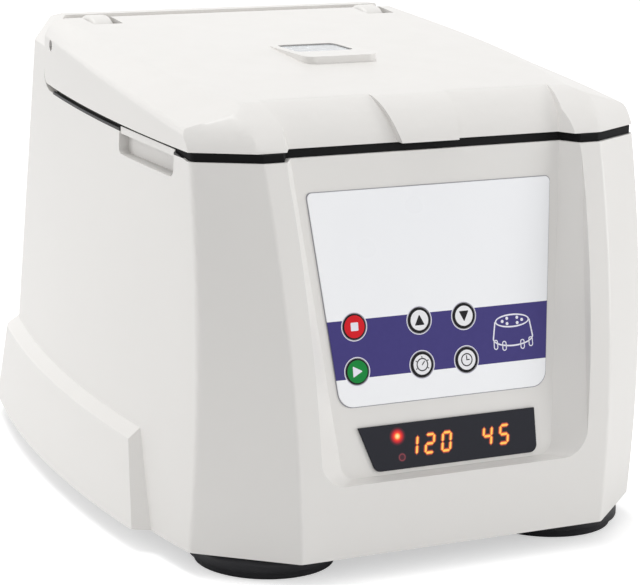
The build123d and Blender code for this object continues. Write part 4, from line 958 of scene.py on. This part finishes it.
def addPocketSills():
    sills = []
    for side in (-1, 1):
        (frontX, frontY), (rearX, rearY) = seam["sillFront"], seam["sillRear"]
        along = Vector(((rearX - frontX) * side, rearY - frontY, 0))
        base = planeAt((frontX * side, frontY, seam["sillLow"]), along, (0, 0, 1))
        sill = barPlate("sill", 0, 0, along.length, seam["sillTall"], seam["sillThick"])
        sills.append(layOn(sill, base, out=-seam["sillThick"] if side > 0 else 0.0))
    rides(joined("pocketSills", sills), "housing", materials["shell_white"])


addSealLipAndSeamShade()
addPocketSills()

# Lid: dark line round the sight pane
paneLine = {"width": 0.45, "thickness": 0.12, "round": 4.0, "sunk": 0.05}


def addPaneLine():
    low, high = (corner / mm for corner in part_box("sight_pane"))
    halfX, halfY = (high.x - low.x) / 2, (high.y - low.y) / 2
    outline = roundedPoints([(x, y, paneLine["round"]) for x, y in
                             ((-halfX, -halfY), (halfX, -halfY), (halfX, halfY), (-halfX, halfY))])
    line = framePlate("paneLine", outline, paneLine["width"], paneLine["thickness"])
    middle = planeAt(((low.x + high.x) / 2, (low.y + high.y) / 2, high.z), (1, 0, 0), (0, 1, 0))
    rides(layOn(line, middle, out=-paneLine["sunk"]), "lid", materials["seal_black"])


# Rotor: place numbers on its sloping top
rotorMarks = {
    "count": 6, "reach": 57.0, "fall": 33.0, "mouthReach": 30.0, "mouthHeight": 175.0, "size": 5.0,
    "thickness": 0.1,
}


def addRotorMarks():
    fall = radians(rotorMarks["fall"])
    marks = []
    for number in range(rotorMarks["count"]):
        turn = 2 * pi * number / rotorMarks["count"] + pi / 2
        outward = Vector((cos(turn), sin(turn), 0))
        drop = (rotorMarks["reach"] - rotorMarks["mouthReach"]) * tan(fall)
        place = outward * rotorMarks["reach"] + Vector((*rotorAxis, rotorMarks["mouthHeight"] - drop))
        up = -outward * cos(fall) + Vector((0, 0, sin(fall)))
        across = up.cross(outward * sin(fall) + Vector((0, 0, cos(fall))))
        pickNone()
        bpy.ops.object.text_add()
        text = bpy.context.object
        text.data.body = str(number + 1)
        text.data.size = rotorMarks["size"] * mm
        text.data.align_x = text.data.align_y = "CENTER"
        text.data.extrude = rotorMarks["thickness"] * mm
        bpy.ops.object.convert(target="MESH")
        marks.append(layOn(named("mark"), planeAt(place, across, up)))
    rides(joined("rotorNumbers", marks), "rotor", materials["inkBlack"])


# Rocker: on and off marks on its two slopes
rockerMarks = {
    "height": 66.0, "tip": -8.0, "slope": 17.9, "reach": 3.9, "rise": 2.26, "half": 1.6, "barHalf": 0.35,
    "ringWidth": 0.5, "ringSides": 32, "thickness": 0.12, "sunk": 0.05,
}


def addRockerMarks():
    tipped = rearPlane(0, rockerMarks["height"]) @ Matrix.Rotation(radians(rockerMarks["tip"]), 4, "X")
    half, barHalf, thickness = (rockerMarks[name] for name in ("half", "barHalf", "thickness"))
    bar = barPlate("onMark", -barHalf, -half, barHalf, half, thickness)
    ring = ringPlate("offMark", half, rockerMarks["ringWidth"], thickness, rockerMarks["ringSides"])
    parts = []
    for mark, side in ((bar, 1), (ring, -1)):
        place = Vector((0, side * rockerMarks["reach"], rockerMarks["rise"])) * mm
        slope = tipped @ Matrix.Translation(place)
        slope = slope @ Matrix.Rotation(radians(side * rockerMarks["slope"]), 4, "X")
        parts.append(layOn(mark, slope, out=-rockerMarks["sunk"]))
    rides(joined("rockerMarks", parts), "rocker", materials["inkWhite"])


addPaneLine()
addRotorMarks()
addRockerMarks()
print("trim ready")
